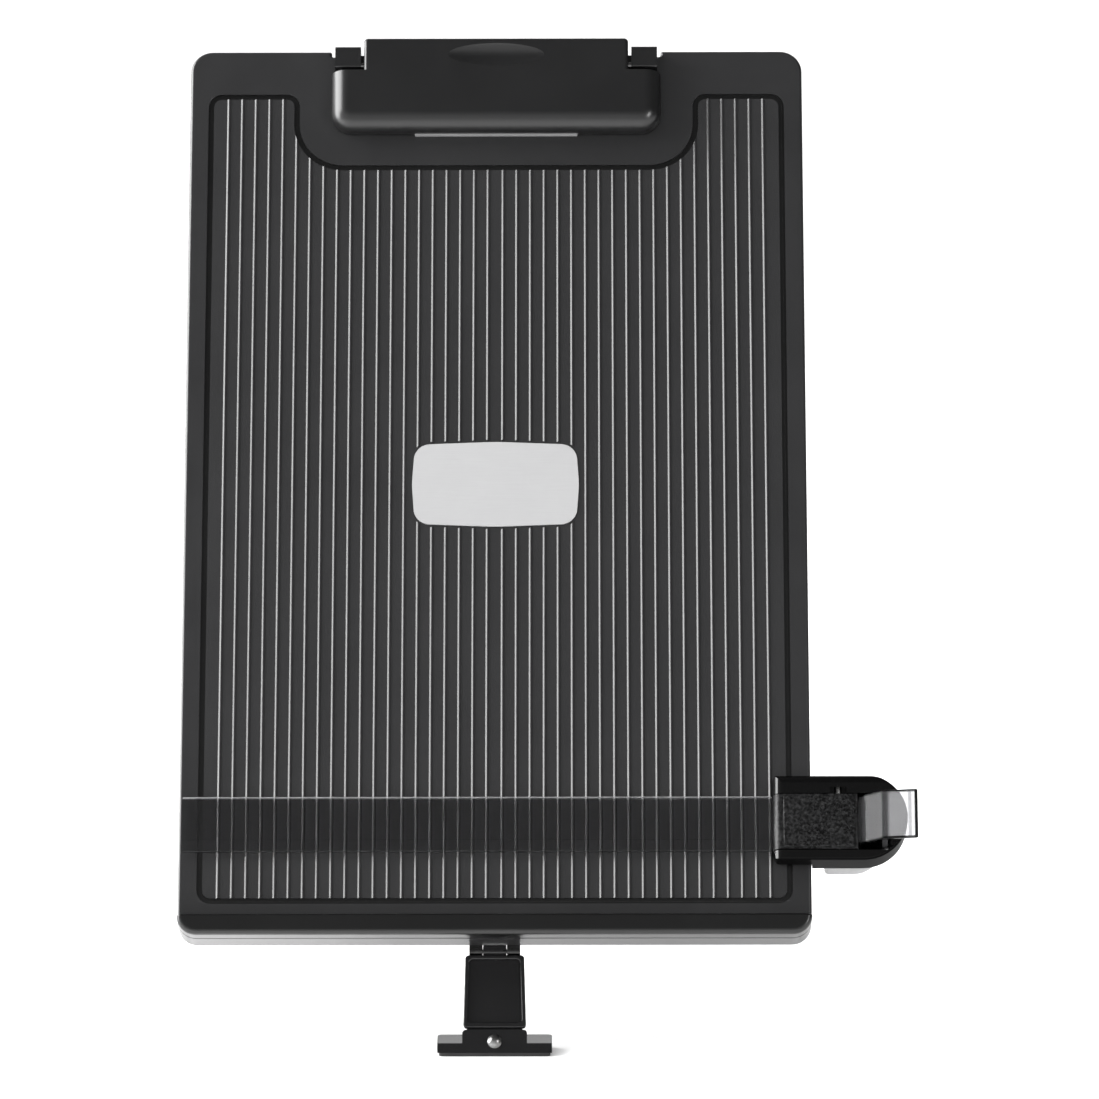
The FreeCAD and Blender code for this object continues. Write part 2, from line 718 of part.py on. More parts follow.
def make_clip_lever():
    """Pillow-shaped lever with a thumb scoop, hollow beneath, on a long bearing."""
    low = BOARD_HEIGHT - CLIP_LOWER_EDGE
    shoulder = BOARD_HEIGHT - CLIP_SHOULDER
    crest = BOARD_HEIGHT + TAB_OVERHANG
    jaw_wire = rounded_wire([
        (-CLIP_HALF_WIDTH, low, CLIP_CORNER),
        (CLIP_HALF_WIDTH, low, CLIP_CORNER),
        (CLIP_HALF_WIDTH, shoulder, 0),
        (-CLIP_HALF_WIDTH, shoulder, 0),
    ])
    jaw = slab(jaw_wire, CLIP_CLEARANCE, CLIP_HEIGHT)

    def pillow_edge(edge):
        point = edge_middle(edge)
        return abs(point.y + CLIP_HEIGHT) < 1e-6 and point.z < shoulder - 1.0

    jaw = fillet_where(jaw, CLIP_ROUND, pillow_edge)
    tab_wire = rectangle(-TAB_HALF_WIDTH, TAB_HALF_WIDTH, shoulder - TAB_ROOT, crest, TAB_CORNER)
    tab = slab(tab_wire, CLIP_HEIGHT - TAB_THICKNESS, CLIP_HEIGHT)

    def tab_edge(edge):
        point = edge_middle(edge)
        return abs(point.y + CLIP_HEIGHT) < 1e-6 and point.z > shoulder - TAB_ROOT + 0.1

    tab = fillet_where(tab, TAB_ROUND, tab_edge)
    wall = CLIP_WALL
    ceiling = CLIP_HEIGHT - wall
    room_half = CLIP_HALF_WIDTH - CLIP_ROOM_SIDE
    room_wire = rectangle(-room_half, room_half, low + CLIP_ROOM_LOW, shoulder - wall, CLIP_ROOM_CORNER)
    body = jaw.cut(slab(room_wire, 0, ceiling)).fuse(tab)
    bearing = []
    radius = LEVER_BEARING_RADIUS
    lugs = (
        (-LEVER_BEARING_HALF, LEVER_BEARING_HALF),
        (-TAB_HALF_WIDTH, -TAB_HALF_WIDTH + LEVER_LUG),
        (TAB_HALF_WIDTH - LEVER_LUG, TAB_HALF_WIDTH),
    )
    for x_low, x_high in lugs:
        bearing.append(rod_x(radius, x_low, x_high, CLIP_PIN_V, CLIP_PIN_HEIGHT))
        bearing.append(block(x_low, x_high, CLIP_PIN_V - radius, CLIP_PIN_V + radius, CLIP_PIN_HEIGHT,
                             CLIP_HEIGHT - TAB_THICKNESS + LEVER_BEARING_ROOT))
    pockets = []
    for side in (-1, 1):
        middle = side * (LEVER_BEARING_HALF + TAB_HALF_WIDTH - LEVER_LUG) / 2
        half = (TAB_HALF_WIDTH - LEVER_LUG - LEVER_BEARING_HALF) / 2
        pockets.append(block(middle - half, middle + half, shoulder - wall - 1,
                             CLIP_PIN_V + LEVER_POCKET_REACH, 0, ceiling))
    body = body.cut(Part.makeCompound(pockets)).fuse(bearing)
    inner = CLIP_HALF_WIDTH - POST_INSET - POST_WIDTH
    slots = []
    for side in (-1, 1):
        near = inner - POST_GAP
        far = CLIP_HALF_WIDTH + 1
        corners = [(near, shoulder - 0.001, TAB_HOLLOW), (far, shoulder - 0.001, 0), (far, crest, 0),
                   (near, crest, 0)]
        wire = rounded_wire([(side * x, v, radius) for x, v, radius in corners])
        slots.append(slab(wire, 0, CLIP_HEIGHT + 1))
    grip = block(-GRIP_HALF_WIDTH, GRIP_HALF_WIDTH, low - 1, low - GRIP_LIP + GRIP_WIDTH, 0,
                 PART_GAP + GRIP_THICKNESS)
    bore = rod_x(CLIP_PIN_RADIUS + PIN_CLEARANCE, -CLIP_HALF_WIDTH, CLIP_HALF_WIDTH, CLIP_PIN_V,
                 CLIP_PIN_HEIGHT)
    plate_half = inner + POST_WIDTH / 4
    relief = block(-plate_half, plate_half, shoulder - wall - POST_FOOT, shoulder + 1, 0,
                   CLIP_BASE_THICKNESS + CLIP_BASE_GAP)
    body = body.cut(Part.makeCompound(slots)).cut(grip).cut(relief).cut(bore)
    return body.cut(scoop_tool()).removeSplitter()


def scoop_tool():
    """Spindle that leaves a lens-shaped hollow for the thumb, deepest in the middle."""
    waist = (SCOOP_HALF_HEIGHT ** 2 / SCOOP_DEPTH + SCOOP_DEPTH) / 2
    axis_w = CLIP_HEIGHT + waist - SCOOP_DEPTH
    reach = SCOOP_HALF_WIDTH + 1
    tip = waist - SCOOP_DEPTH * (reach / SCOOP_HALF_WIDTH) ** 2
    profile = Part.Wire([
        Part.Arc(Vector(-reach, tip, 0), Vector(0, waist, 0), Vector(reach, tip, 0)).toShape(),
        Part.makeLine(Vector(reach, tip, 0), Vector(reach, 0, 0)),
        Part.makeLine(Vector(reach, 0, 0), Vector(-reach, 0, 0)),
        Part.makeLine(Vector(-reach, 0, 0), Vector(-reach, tip, 0)),
    ])
    spindle = Part.Face(profile).revolve(Vector(0, 0, 0), Vector(1, 0, 0), 360)
    spindle.translate(Vector(0, -axis_w, BOARD_HEIGHT - SCOOP_DROP))
    return spindle


def make_clip_grip():
    """Pale strip in the clip's lower edge that holds the paper."""
    low = BOARD_HEIGHT - CLIP_LOWER_EDGE - GRIP_LIP
    wire = rectangle(-GRIP_HALF_WIDTH, GRIP_HALF_WIDTH, low, low + GRIP_WIDTH, GRIP_CORNER)
    return slab(wire, PART_GAP, PART_GAP + GRIP_THICKNESS)


def make_clip_pin():
    """Steel pin through posts and lever."""
    outer = CLIP_HALF_WIDTH - POST_INSET
    return rod_x(CLIP_PIN_RADIUS, -outer, outer, CLIP_PIN_V, CLIP_PIN_HEIGHT)


def sleeve(radius, wire, length):
    """Close-wound coil as one tube along x from the origin."""
    outer = rod_x(radius + wire / 2, 0, length, 0, 0)
    return outer.cut(rod_x(radius - wire / 2, -1, length + 1, 0, 0))


def make_clip_springs():
    """Two torsion springs round the clip's pin, one arm on the base and one in the lever's pocket."""
    length = SPRING_WIRE * SPRING_TURNS
    reach = LEVER_POCKET_REACH - SPRING_WIRE
    springs = []
    for side in (-1, 1):
        arms = [
            rod_v(SPRING_ARM_RADIUS, -reach, 0, SPRING_WIRE / 2, -SPRING_RADIUS),
            rod_v(SPRING_ARM_RADIUS, 0, reach, length - SPRING_WIRE / 2, SPRING_RADIUS),
        ]
        body = sleeve(SPRING_RADIUS, SPRING_WIRE, length).fuse(arms).removeSplitter()
        body.translate(Vector(side * SPRING_X - length / 2, -CLIP_PIN_HEIGHT, CLIP_PIN_V))
        springs.append(body)
    return Part.makeCompound(springs)


def screw(x, v, w_tip, w_head):
    """Screw put in from the back: round shank and a low head."""
    shank = rod_w(SCREW_RADIUS, w_head, w_tip, x, v)
    return shank.fuse(rod_w(SCREW_HEAD_RADIUS, w_head - SCREW_HEAD_HEIGHT, w_head, x, v))


def slider_wire(inset, inner_end):
    """Outline of the slider with its round outer end."""
    half = SLIDER_HEIGHT / 2 - inset
    outer = SLIDER_OUTER_END - inset
    bend = half - 0.01
    return rounded_wire([
        (inner_end + inset, SLIDER_MIDDLE - half, SLIDER_CORNER),
        (outer, SLIDER_MIDDLE - half, bend),
        (outer, SLIDER_MIDDLE + half, bend),
        (inner_end + inset, SLIDER_MIDDLE + half, SLIDER_CORNER),
    ])


def make_slider_body():
    """Housing with two rails, open towards the board, and a floor outside the board."""
    edge = BOARD_HALF_WIDTH + SLIDE_GAP
    over = slab(slider_wire(0, SLIDER_INNER_END), SLIDER_LIFT, SLIDER_FRONT)

    def front_edge(candidate):
        point = edge_middle(candidate)
        return abs(point.y + SLIDER_FRONT) < 1e-6

    over = fillet_where(over, SLIDER_EDGE_ROUND, front_edge)
    nose = profile_v([
        (SLIDER_INNER_END, 0, 0),
        (SLIDER_OUTER_END + 1, 0, 0),
        (SLIDER_OUTER_END + 1, SLIDER_FRONT, 0),
        (SLIDER_INNER_END, SLIDER_FRONT, SLIDER_NOSE),
    ], 0, SLIDER_MIDDLE + SLIDER_HEIGHT)
    top = SLIDER_MIDDLE + SLIDER_HEIGHT / 2
    brow = profile_x([
        (0, 0, 0),
        (top, 0, 0),
        (top, SLIDER_FRONT, SLIDER_NOSE),
        (0, SLIDER_FRONT, 0),
    ], SLIDER_INNER_END - 1, SLIDER_OUTER_END + 1)
    over = over.common(nose).common(brow)
    outside = slab(slider_wire(0, SLIDER_INNER_END), -SLIDER_BACK, SLIDER_LIFT)
    outside = outside.cut(block(0, edge, 0, BIG, -BIG, BIG))
    half = ROCKER_HEIGHT / 2 + ROCKER_GAP
    low = ROCKER_MIDDLE - half
    high = ROCKER_MIDDLE + half
    bay_end = SLIDER_INNER_END + ROCKER_LENGTH + BAY_END_GAP
    bay_start = SLIDER_INNER_END - 1
    ramp = FINGER_TAB_RISE
    bay = profile_v([
        (bay_start, SLIDER_FRONT + 5, 0),
        (bay_start, -ROCKER_SINK, 0),
        (bay_end, -ROCKER_SINK, 0),
        (bay_end + ramp + RAMP_LOW_REACH, SLIDER_FRONT - BAY_LIP, 0),
        (bay_end + ramp + RAMP_HIGH_REACH, SLIDER_FRONT + 5, 0),
    ], low, high)
    body = over.fuse(outside).cut(bay)
    body = body.cut(block(bay_start, edge, low, high, -SLIDER_BACK, SLIDER_FRONT + 1))
    window = block(ROCKER_PIN_X - WINDOW_HALF, ROCKER_PIN_X + WINDOW_HALF, high - 1, high + WINDOW_REACH,
                   ROCKER_PIN_W - WINDOW_DROP, SLIDER_FRONT + 1)
    bore = rod_v(ROCKER_PIN_RADIUS, low - RAIL_BORE_DEPTH, high + RAIL_BORE_DEPTH, ROCKER_PIN_X,
                 ROCKER_PIN_W)
    pocket = rod_w(SPRING_POCKET_RADIUS, -SLIDER_BACK + SPRING_POCKET_FLOOR, 0,
                   ROCKER_PIN_X + ROCKER_SPRING_REACH, ROCKER_MIDDLE)
    tip = -SLIDER_BACK + SHORT_SCREW + SCREW_TIP_GAP
    screw_holes = [rod_w(SCREW_RADIUS, -SLIDER_BACK - 1, tip, x, v) for x, v in jaw_screw_places()]
    return body.cut(Part.makeCompound([window, bore, pocket] + screw_holes)).removeSplitter()


def jaw_screw_places():
    """Screws that hold the jaw on the housing."""
    x = BOARD_HALF_WIDTH + JAW_SCREW_OUT
    far = x + JAW_SCREW_STEP
    top = SLIDER_MIDDLE + SLIDER_HEIGHT / 2 - JAW_SCREW_EDGE
    return [(x, top), (far, SLIDER_MIDDLE - JAW_SCREW_SPREAD), (far, SLIDER_MIDDLE + JAW_SCREW_SPREAD)]


def make_slider_jaw():
    """Jaw that reaches behind the board's edge."""
    edge = BOARD_HALF_WIDTH + SLIDE_GAP
    deep = BOARD_DEPTH + SLIDE_GAP + PAD_THICKNESS
    half = SLIDER_HEIGHT / 2 - 0.01
    outer = SLIDER_OUTER_END - JAW_SETBACK
    inner = BOARD_HALF_WIDTH - JAW_REACH
    waist = half - JAW_WAIST_INSET
    bend = JAW_WAIST_INSET / 2 - 0.01
    lower = [
        (inner, -waist, JAW_INNER_CORNER),
        (JAW_WAIST_END, -waist, bend),
        (JAW_WAIST_END, -half, bend),
        (outer, -half, JAW_OUTER_CORNER),
    ]
    upper = [(x, -v, radius) for x, v, radius in reversed(lower)]
    wire = rounded_wire([(x, SLIDER_MIDDLE + v, radius) for x, v, radius in lower + upper])
    body = slab(wire, -deep - JAW_THICKNESS, -SLIDER_BACK)

    def back_edge(candidate):
        point = edge_middle(candidate)
        return abs(point.y - deep - JAW_THICKNESS) < 1e-6

    body = fillet_where(body, JAW_ROUND, back_edge)
    body = body.cut(block(0, edge, 0, BIG, -deep, BIG))
    holes = []
    for x, v in jaw_screw_places():
        holes.append(rod_w(SCREW_RADIUS, -deep - JAW_THICKNESS - 1, 0, x, v))
        holes.append(rod_w(SCREW_HEAD_RADIUS + SCREW_HEAD_CLEARANCE, -deep - JAW_THICKNESS - 1,
                           -deep - JAW_THICKNESS + JAW_SCREW_SEAT, x, v))
    return body.cut(Part.makeCompound(holes))


def make_friction_pad():
    """Pad between the jaw and the board's back rim."""
    deep = BOARD_DEPTH + SLIDE_GAP
    inner = BOARD_HALF_WIDTH - JAW_REACH + PAD_INNER_MARGIN
    outer = BOARD_HALF_WIDTH - PAD_OUTER_MARGIN
    half = SLIDER_HEIGHT / 2 - JAW_WAIST_INSET - PAD_END_MARGIN
    wire = rectangle(inner, outer, SLIDER_MIDDLE - half, SLIDER_MIDDLE + half, PAD_CORNER)
    return slab(wire, -deep - PAD_THICKNESS, -deep)


def rocker_bottom():
    """Height of the blade's underside over the panel."""
    return RIB_HEIGHT + BLADE_CLEARANCE


def make_rocker():
    """Textured block that rocks between the rails and carries blade and finger tab."""
    half = ROCKER_HEIGHT / 2
    low = ROCKER_MIDDLE - half
    high = ROCKER_MIDDLE + half
    bottom = rocker_bottom()
    start = SLIDER_INNER_END
    end = start + ROCKER_LENGTH
    crest = SLIDER_FRONT + ROCKER_PROUD
    body = profile_v([
        (start, bottom, ROCKER_CORNER / 2),
        (end - ROCKER_HEEL_RUN, bottom, ROCKER_CORNER),
        (end, bottom + ROCKER_HEEL_RISE, ROCKER_CORNER),
        (end, crest, ROCKER_CORNER),
        (start, crest, ROCKER_NOSE),
    ], low, high)
    field = block(start + FIELD_SETBACK, end - FIELD_MARGIN - ROCKER_CORNER, low + FIELD_MARGIN,
                  high - FIELD_MARGIN, crest - ROOT, crest + FIELD_RISE)
    body = body.fuse(field)
    blade_low, blade_high = tongue_span()
    tongue_top = bottom + BLADE_THICKNESS
    tongue = block(start - 1, start + BLADE_TONGUE, blade_low, blade_high, bottom - 1, tongue_top)
    tab_half = FINGER_TAB_WIDTH / 2 - FINGER_TAB_SHOULDER
    slot_w = finger_tab_root()
    tab_middle = ROCKER_MIDDLE + FINGER_TAB_SHIFT
    slot = block(end - FINGER_TAB_ROOT, end + 1, tab_middle - tab_half, tab_middle + tab_half, slot_w,
                 slot_w + FINGER_TAB_THICKNESS)
    bore = rod_v(ROCKER_PIN_RADIUS + PIN_CLEARANCE, low - 1, high + 1, ROCKER_PIN_X, ROCKER_PIN_W)
    return body.cut(Part.makeCompound([tongue, slot, bore]))


def tongue_span():
    """Lower and upper side of the blade's tongue."""
    half = ROCKER_HEIGHT / 2 - TONGUE_MARGIN
    return ROCKER_MIDDLE - half, ROCKER_MIDDLE + half


def finger_tab_root():
    """Height of the finger tab's root in the block."""
    return SLIDER_FRONT - FINGER_TAB_DROP


def make_rocker_pin():
    """Pin that the block rocks on."""
    half = ROCKER_HEIGHT / 2 + ROCKER_GAP + RAIL_BORE_DEPTH
    return rod_v(ROCKER_PIN_RADIUS, ROCKER_MIDDLE - half, ROCKER_MIDDLE + half, ROCKER_PIN_X, ROCKER_PIN_W)


def make_rocker_spring():
    """Small coil under the outer end of the block that presses the blade down."""
    bottom = -SLIDER_BACK + SPRING_POCKET_FLOOR
    top = rocker_bottom() - PART_GAP
    body = sleeve(ROCKER_SPRING_RADIUS, ROCKER_SPRING_WIRE, top - bottom)
    body.rotate(Vector(0, 0, 0), Vector(0, 0, 1), -90)
    body.translate(Vector(ROCKER_PIN_X + ROCKER_SPRING_REACH, -bottom, ROCKER_MIDDLE))
    return body


def make_blade():
    """Clear strip across the board with a fine sunk line along its lower edge."""
    bottom = rocker_bottom()
    end = -BOARD_HALF_WIDTH + BLADE_END_GAP
    half = BLADE_WIDTH / 2
    middle = ROCKER_MIDDLE + BLADE_SHIFT
    start = SLIDER_INNER_END - PART_GAP
    wire = rectangle(end, start, middle - half, middle + half, BLADE_CORNER)
    strip = slab(wire, bottom, bottom + BLADE_THICKNESS)
    low, high = tongue_span()
    top = bottom + BLADE_THICKNESS
    high = min(high, middle + half - TONGUE_SHOULDER)
    tongue = block(start - 2, SLIDER_INNER_END + BLADE_TONGUE, low, high, bottom, top)
    line = middle - half + LINE_RISE
    groove = block(end - 1, start + 1, line, line + LINE_WIDTH, top - LINE_DEPTH, top + 1)
    return strip.fuse(tongue).cut(groove).removeSplitter()


def make_finger_tab():
    """Clear tab bent up out of the block, to press with a finger."""
    thick = FINGER_TAB_THICKNESS
    root = finger_tab_root()
    end = SLIDER_INNER_END + ROCKER_LENGTH
    rise = FINGER_TAB_RISE
    knee = end + FINGER_TAB_KNEE
    shelf = knee + rise
    tip = root + rise + FINGER_TAB_TIP_RISE
    bend = thick * math.tan(math.radians(45.0 / 2))
    middle = ROCKER_MIDDLE + FINGER_TAB_SHIFT
    section = profile_v([
        (end - FINGER_TAB_ROOT, root, 0),
        (knee + bend, root, FINGER_TAB_OUTER_BEND),
        (shelf + bend, root + rise, FINGER_TAB_OUTER_BEND),
        (FINGER_TAB_END, tip, FINGER_TAB_TIP_BEND),
        (FINGER_TAB_END, tip + thick, FINGER_TAB_TIP_BEND),
        (shelf - bend, root + rise + thick, FINGER_TAB_INNER_BEND),
        (knee - bend, root + thick, FINGER_TAB_INNER_BEND),
        (end - FINGER_TAB_ROOT, root + thick, 0),
    ], middle - FINGER_TAB_WIDTH / 2, middle + FINGER_TAB_WIDTH / 2)
    half = FINGER_TAB_WIDTH / 2
    neck = half - FINGER_TAB_SHOULDER
    trims = []
    for side in (-1, 1):
        v_low = min(side * neck, side * (half + 1)) + middle
        trims.append(block(end - FINGER_TAB_ROOT - 1, end + PART_GAP, v_low,
                           v_low + FINGER_TAB_SHOULDER + 1, 0, BIG))
    body = section.cut(Part.makeCompound(trims))

    def tip_corner(candidate):
        point = edge_middle(candidate)
        at_side = abs(abs(point.z - middle) - half) < 1e-6
        straight = abs(candidate.Vertexes[0].Point.x - candidate.Vertexes[-1].Point.x) < 1e-6
        return at_side and straight and point.x > FINGER_TAB_END - 0.01 and candidate.Length < thick + 0.1

    corners = [edge for edge in body.Edges if tip_corner(edge)]
    return body.makeFillet(FINGER_TAB_CORNER, corners)


def hinge_axis_bar(radius, x_low, x_high):
    """Bar along the small hinge's axis."""
    return rod_x(radius, x_low, x_high, -HINGE_DROP, -HINGE_Y)


def make_hinge_leaf():
    """Steel leaf on the board's back with its two rolled knuckles."""
    back = -BOARD_DEPTH - HINGE_LEAF_THICKNESS
    outline = rectangle(-HINGE_HALF, HINGE_HALF, HINGE_LEAF_RISE, HINGE_LEAF_HEIGHT, HINGE_LEAF_CORNER)
    pieces = [slab(outline, back, -BOARD_DEPTH)]
    for side in (-1, 1):
        x_low = min(side * (KNUCKLE_HALF + KNUCKLE_GAP), side * HINGE_HALF)
        x_high = x_low + HINGE_HALF - KNUCKLE_HALF - KNUCKLE_GAP
        pieces.append(hinge_axis_bar(KNUCKLE_RADIUS, x_low, x_high))
        pieces.append(block(x_low, x_high, -HINGE_DROP, HINGE_TONGUE_TOP, back, -BOARD_DEPTH))
    body = pieces[0].fuse(pieces[1:]).removeSplitter()
    holes = [rod_w(SCREW_RADIUS, back - 1, 0, x, v) for x, v in leg_screw_places()]
    holes.append(hinge_axis_bar(HINGE_PIN_RADIUS, -HINGE_HALF - 1, HINGE_HALF + 1))
    half = KNUCKLE_HALF + KNUCKLE_GAP
    window = block(-half, half, -BIG, HINGE_WINDOW_TOP, -BIG, 0)
    return body.cut(Part.makeCompound(holes)).cut(window)


def make_leg():
    """Short dished leg with its middle knuckle and the tongue behind the foot's neck."""
    front = -LEG_FRONT
    back = front - LEG_DEPTH
    top = -LEG_TOP
    low = top - LEG_LENGTH
    wire = rounded_wire([
        (-LEG_BOTTOM_HALF, low, LEG_CORNER),
        (LEG_BOTTOM_HALF, low, LEG_CORNER),
        (LEG_TOP_HALF, top, LEG_CORNER),
        (-LEG_TOP_HALF, top, LEG_CORNER),
    ])
    body = slab(wire, back, front)
    rim = LEG_RIM
    dish = rounded_wire([
        (-LEG_BOTTOM_HALF + rim, low + LEG_RIM_LOW, LEG_DISH_CORNER),
        (LEG_BOTTOM_HALF - rim, low + LEG_RIM_LOW, LEG_DISH_CORNER),
        (LEG_TOP_HALF - rim, top - rim, LEG_DISH_CORNER),
        (-LEG_TOP_HALF + rim, top - rim, LEG_DISH_CORNER),
    ])
    body = body.cut(slab(dish, front - LEG_DISH, front + 1))

    def rim_edge(edge):
        point = edge_middle(edge)
        return abs(point.y - LEG_FRONT) < 1e-6

    body = fillet_where(body, LEG_RIM_ROUND, rim_edge)

    def upper_back_edge(edge):
        point = edge_middle(edge)
        return abs(point.y + back) < 1e-6 and abs(point.z - top) < 1e-6

    body = body.makeChamfer(LEG_RELIEF, [edge for edge in body.Edges if upper_back_edge(edge)])
    knuckle = hinge_axis_bar(KNUCKLE_RADIUS, -KNUCKLE_HALF, KNUCKLE_HALF)
    web_half = LEG_WEB_THICKNESS / 2
    web = block(-KNUCKLE_HALF, KNUCKLE_HALF, top - LEG_WEB_ROOT, -HINGE_DROP, -HINGE_Y - web_half,
                -HINGE_Y + web_half)
    stop = block(-KNUCKLE_HALF, KNUCKLE_HALF, -HINGE_DROP - LEG_STOP_DROP, -PART_GAP, -HINGE_Y,
                 -BOARD_DEPTH + LEG_STOP_GAP)
    tongue = block(-TONGUE_HALF, TONGUE_HALF, -RIVET_DROP - TONGUE_BELOW_RIVET, low + TONGUE_ROOT, back,
                   front - FOOT_WALL)
    body = body.fuse([knuckle, web, stop, tongue]).removeSplitter()
    bores = [
        hinge_axis_bar(HINGE_PIN_RADIUS + PIN_CLEARANCE, -HINGE_HALF, HINGE_HALF),
        rod_w(RIVET_RADIUS, back - 1, front + 1, 0, -RIVET_DROP),
    ]
    return body.cut(Part.makeCompound(bores))


def make_foot():
    """T-shaped foot: a neck in line with the leg and a level base behind it."""
    front = -LEG_FRONT
    neck_low = -FOOT_BOTTOM
    wire = rounded_wire([
        (-NECK_HALF, neck_low, 0),
        (NECK_HALF, neck_low, 0),
        (NECK_HALF, -NECK_TOP, NECK_CORNER),
        (-NECK_HALF, -NECK_TOP, NECK_CORNER),
    ])
    neck = slab(wire, front - FOOT_WALL, front)
    neck = neck.cut(rod_w(RIVET_RADIUS, front - FOOT_WALL - 1, front + 1, 0, -RIVET_DROP))
    neck = lean(neck)
    low_y = front_face_y(FOOT_PAD_THICKNESS)
    high_y = front_face_y(FOOT_TOP)
    rear = FOOT_DEPTH / 2
    outline = Part.makePolygon([
        Vector(0, low_y, FOOT_PAD_THICKNESS),
        Vector(0, rear, FOOT_PAD_THICKNESS),
        Vector(0, rear, FOOT_TOP),
        Vector(0, high_y, FOOT_TOP),
        Vector(0, low_y, FOOT_PAD_THICKNESS),
    ])
    base = Part.Face(outline).extrude(Vector(2 * FOOT_HALF_WIDTH, 0, 0))
    base.translate(Vector(-FOOT_HALF_WIDTH, 0, 0))
    upright = [edge for edge in base.Edges
               if edge_middle(edge).y > rear - 1e-6 and abs(edge_middle(edge).x) > FOOT_HALF_WIDTH - 1e-6]
    base = base.makeFillet(FOOT_CORNER, upright)
    room = lean(block(-FOOT_ROOM_HALF, FOOT_ROOM_HALF, -RIVET_DROP - FOOT_ROOM_BELOW_RIVET, 0,
                      front - FOOT_DEPTH, front - FOOT_WALL))
    below = Part.makeBox(BIG, BIG, BIG, Vector(-BIG / 2, -BIG / 2, FOOT_PAD_THICKNESS - BIG))
    shank = lean(rod_w(RIVET_RADIUS, front - FOOT_WALL - 1, front + 1, 0, -RIVET_DROP))
    return neck.fuse(base).cut(below).cut(room).cut(shank).removeSplitter()


def front_face_y(z):
    """Where the leaning front face of the leg stands at a height above the desk."""
    v = (z - BOARD_Z + LEG_FRONT * LEAN_SIN) / LEAN_COS
    return BOARD_Y + LEG_FRONT * LEAN_COS + v * LEAN_SIN


def make_foot_pad():
    """Rubber sole under the foot."""
    half_x = FOOT_HALF_WIDTH - FOOT_PAD_SIDE_MARGIN
    half_y = FOOT_DEPTH / 2 - FOOT_PAD_END_MARGIN
    body = Part.makeBox(2 * half_x, 2 * half_y, FOOT_PAD_THICKNESS, Vector(-half_x, -half_y, 0))
    upright = [edge for edge in body.Edges if abs(edge.Vertexes[0].Z - edge.Vertexes[-1].Z) > 0.5]
    return body.makeFillet(FOOT_PAD_CORNER, upright)


def make_rivet():
    """Domed rivet through neck and tongue."""
    front = -LEG_FRONT
    back = front - LEG_DEPTH
    ball = (RIVET_HEAD_RADIUS ** 2 + RIVET_HEAD_HEIGHT ** 2) / (2 * RIVET_HEAD_HEIGHT)
    shank = rod_w(RIVET_RADIUS, back - 0.1, front + 0.1, 0, -RIVET_DROP)
    dome = Part.makeSphere(ball, Vector(0, -(front + RIVET_HEAD_HEIGHT - ball), -RIVET_DROP))
    dome = dome.common(rod_w(RIVET_HEAD_RADIUS + 1, front, front + 5, 0, -RIVET_DROP))
    tail = rod_w(RIVET_TAIL_RADIUS, back - RIVET_TAIL_HEIGHT, back, 0, -RIVET_DROP)
    return shank.fuse([dome, tail]).removeSplitter()


def swing_prop(shape):
    """Take a prop drawn hanging from its pivot to its opened place in the world."""
    place = Placement(Vector(0, PROP_AXIS_Y, PROP_AXIS_Z), Rotation(Vector(1, 0, 0), PROP_TILT))
    return shape.transformed(place.toMatrix())


def prop_outline(inset):
    """Forked outline of the prop."""
    reach = -PROP_LENGTH - PROP_OVERRUN + inset
    top = -inset
    slope = (PROP_FOOT_OUTER - PROP_TOP_HALF + PROP_SHOULDER) / PROP_LENGTH
    outer_top = PROP_TOP_HALF - PROP_SHOULDER - inset
    outer_low = PROP_TOP_HALF - PROP_SHOULDER + slope * -reach - inset
    fork_slope = (PROP_FOOT_INNER - PROP_FORK_HALF) / (PROP_LENGTH - PROP_FORK_DROP)
    inner_low = PROP_FORK_HALF + fork_slope * (-reach - PROP_FORK_DROP) + inset
    fork = PROP_FORK_HALF + inset * 0.8
    fork_round = PROP_FORK_ROUND + inset
    return rounded_wire([
        (-outer_low, reach, 0),
        (-inner_low, reach, 0),
        (-fork, -PROP_FORK_DROP + inset, fork_round),
        (fork, -PROP_FORK_DROP + inset, fork_round),
        (inner_low, reach, 0),
        (outer_low, reach, 0),
        (outer_top, top, PROP_CORNER),
        (-outer_top, top, PROP_CORNER),
    ])


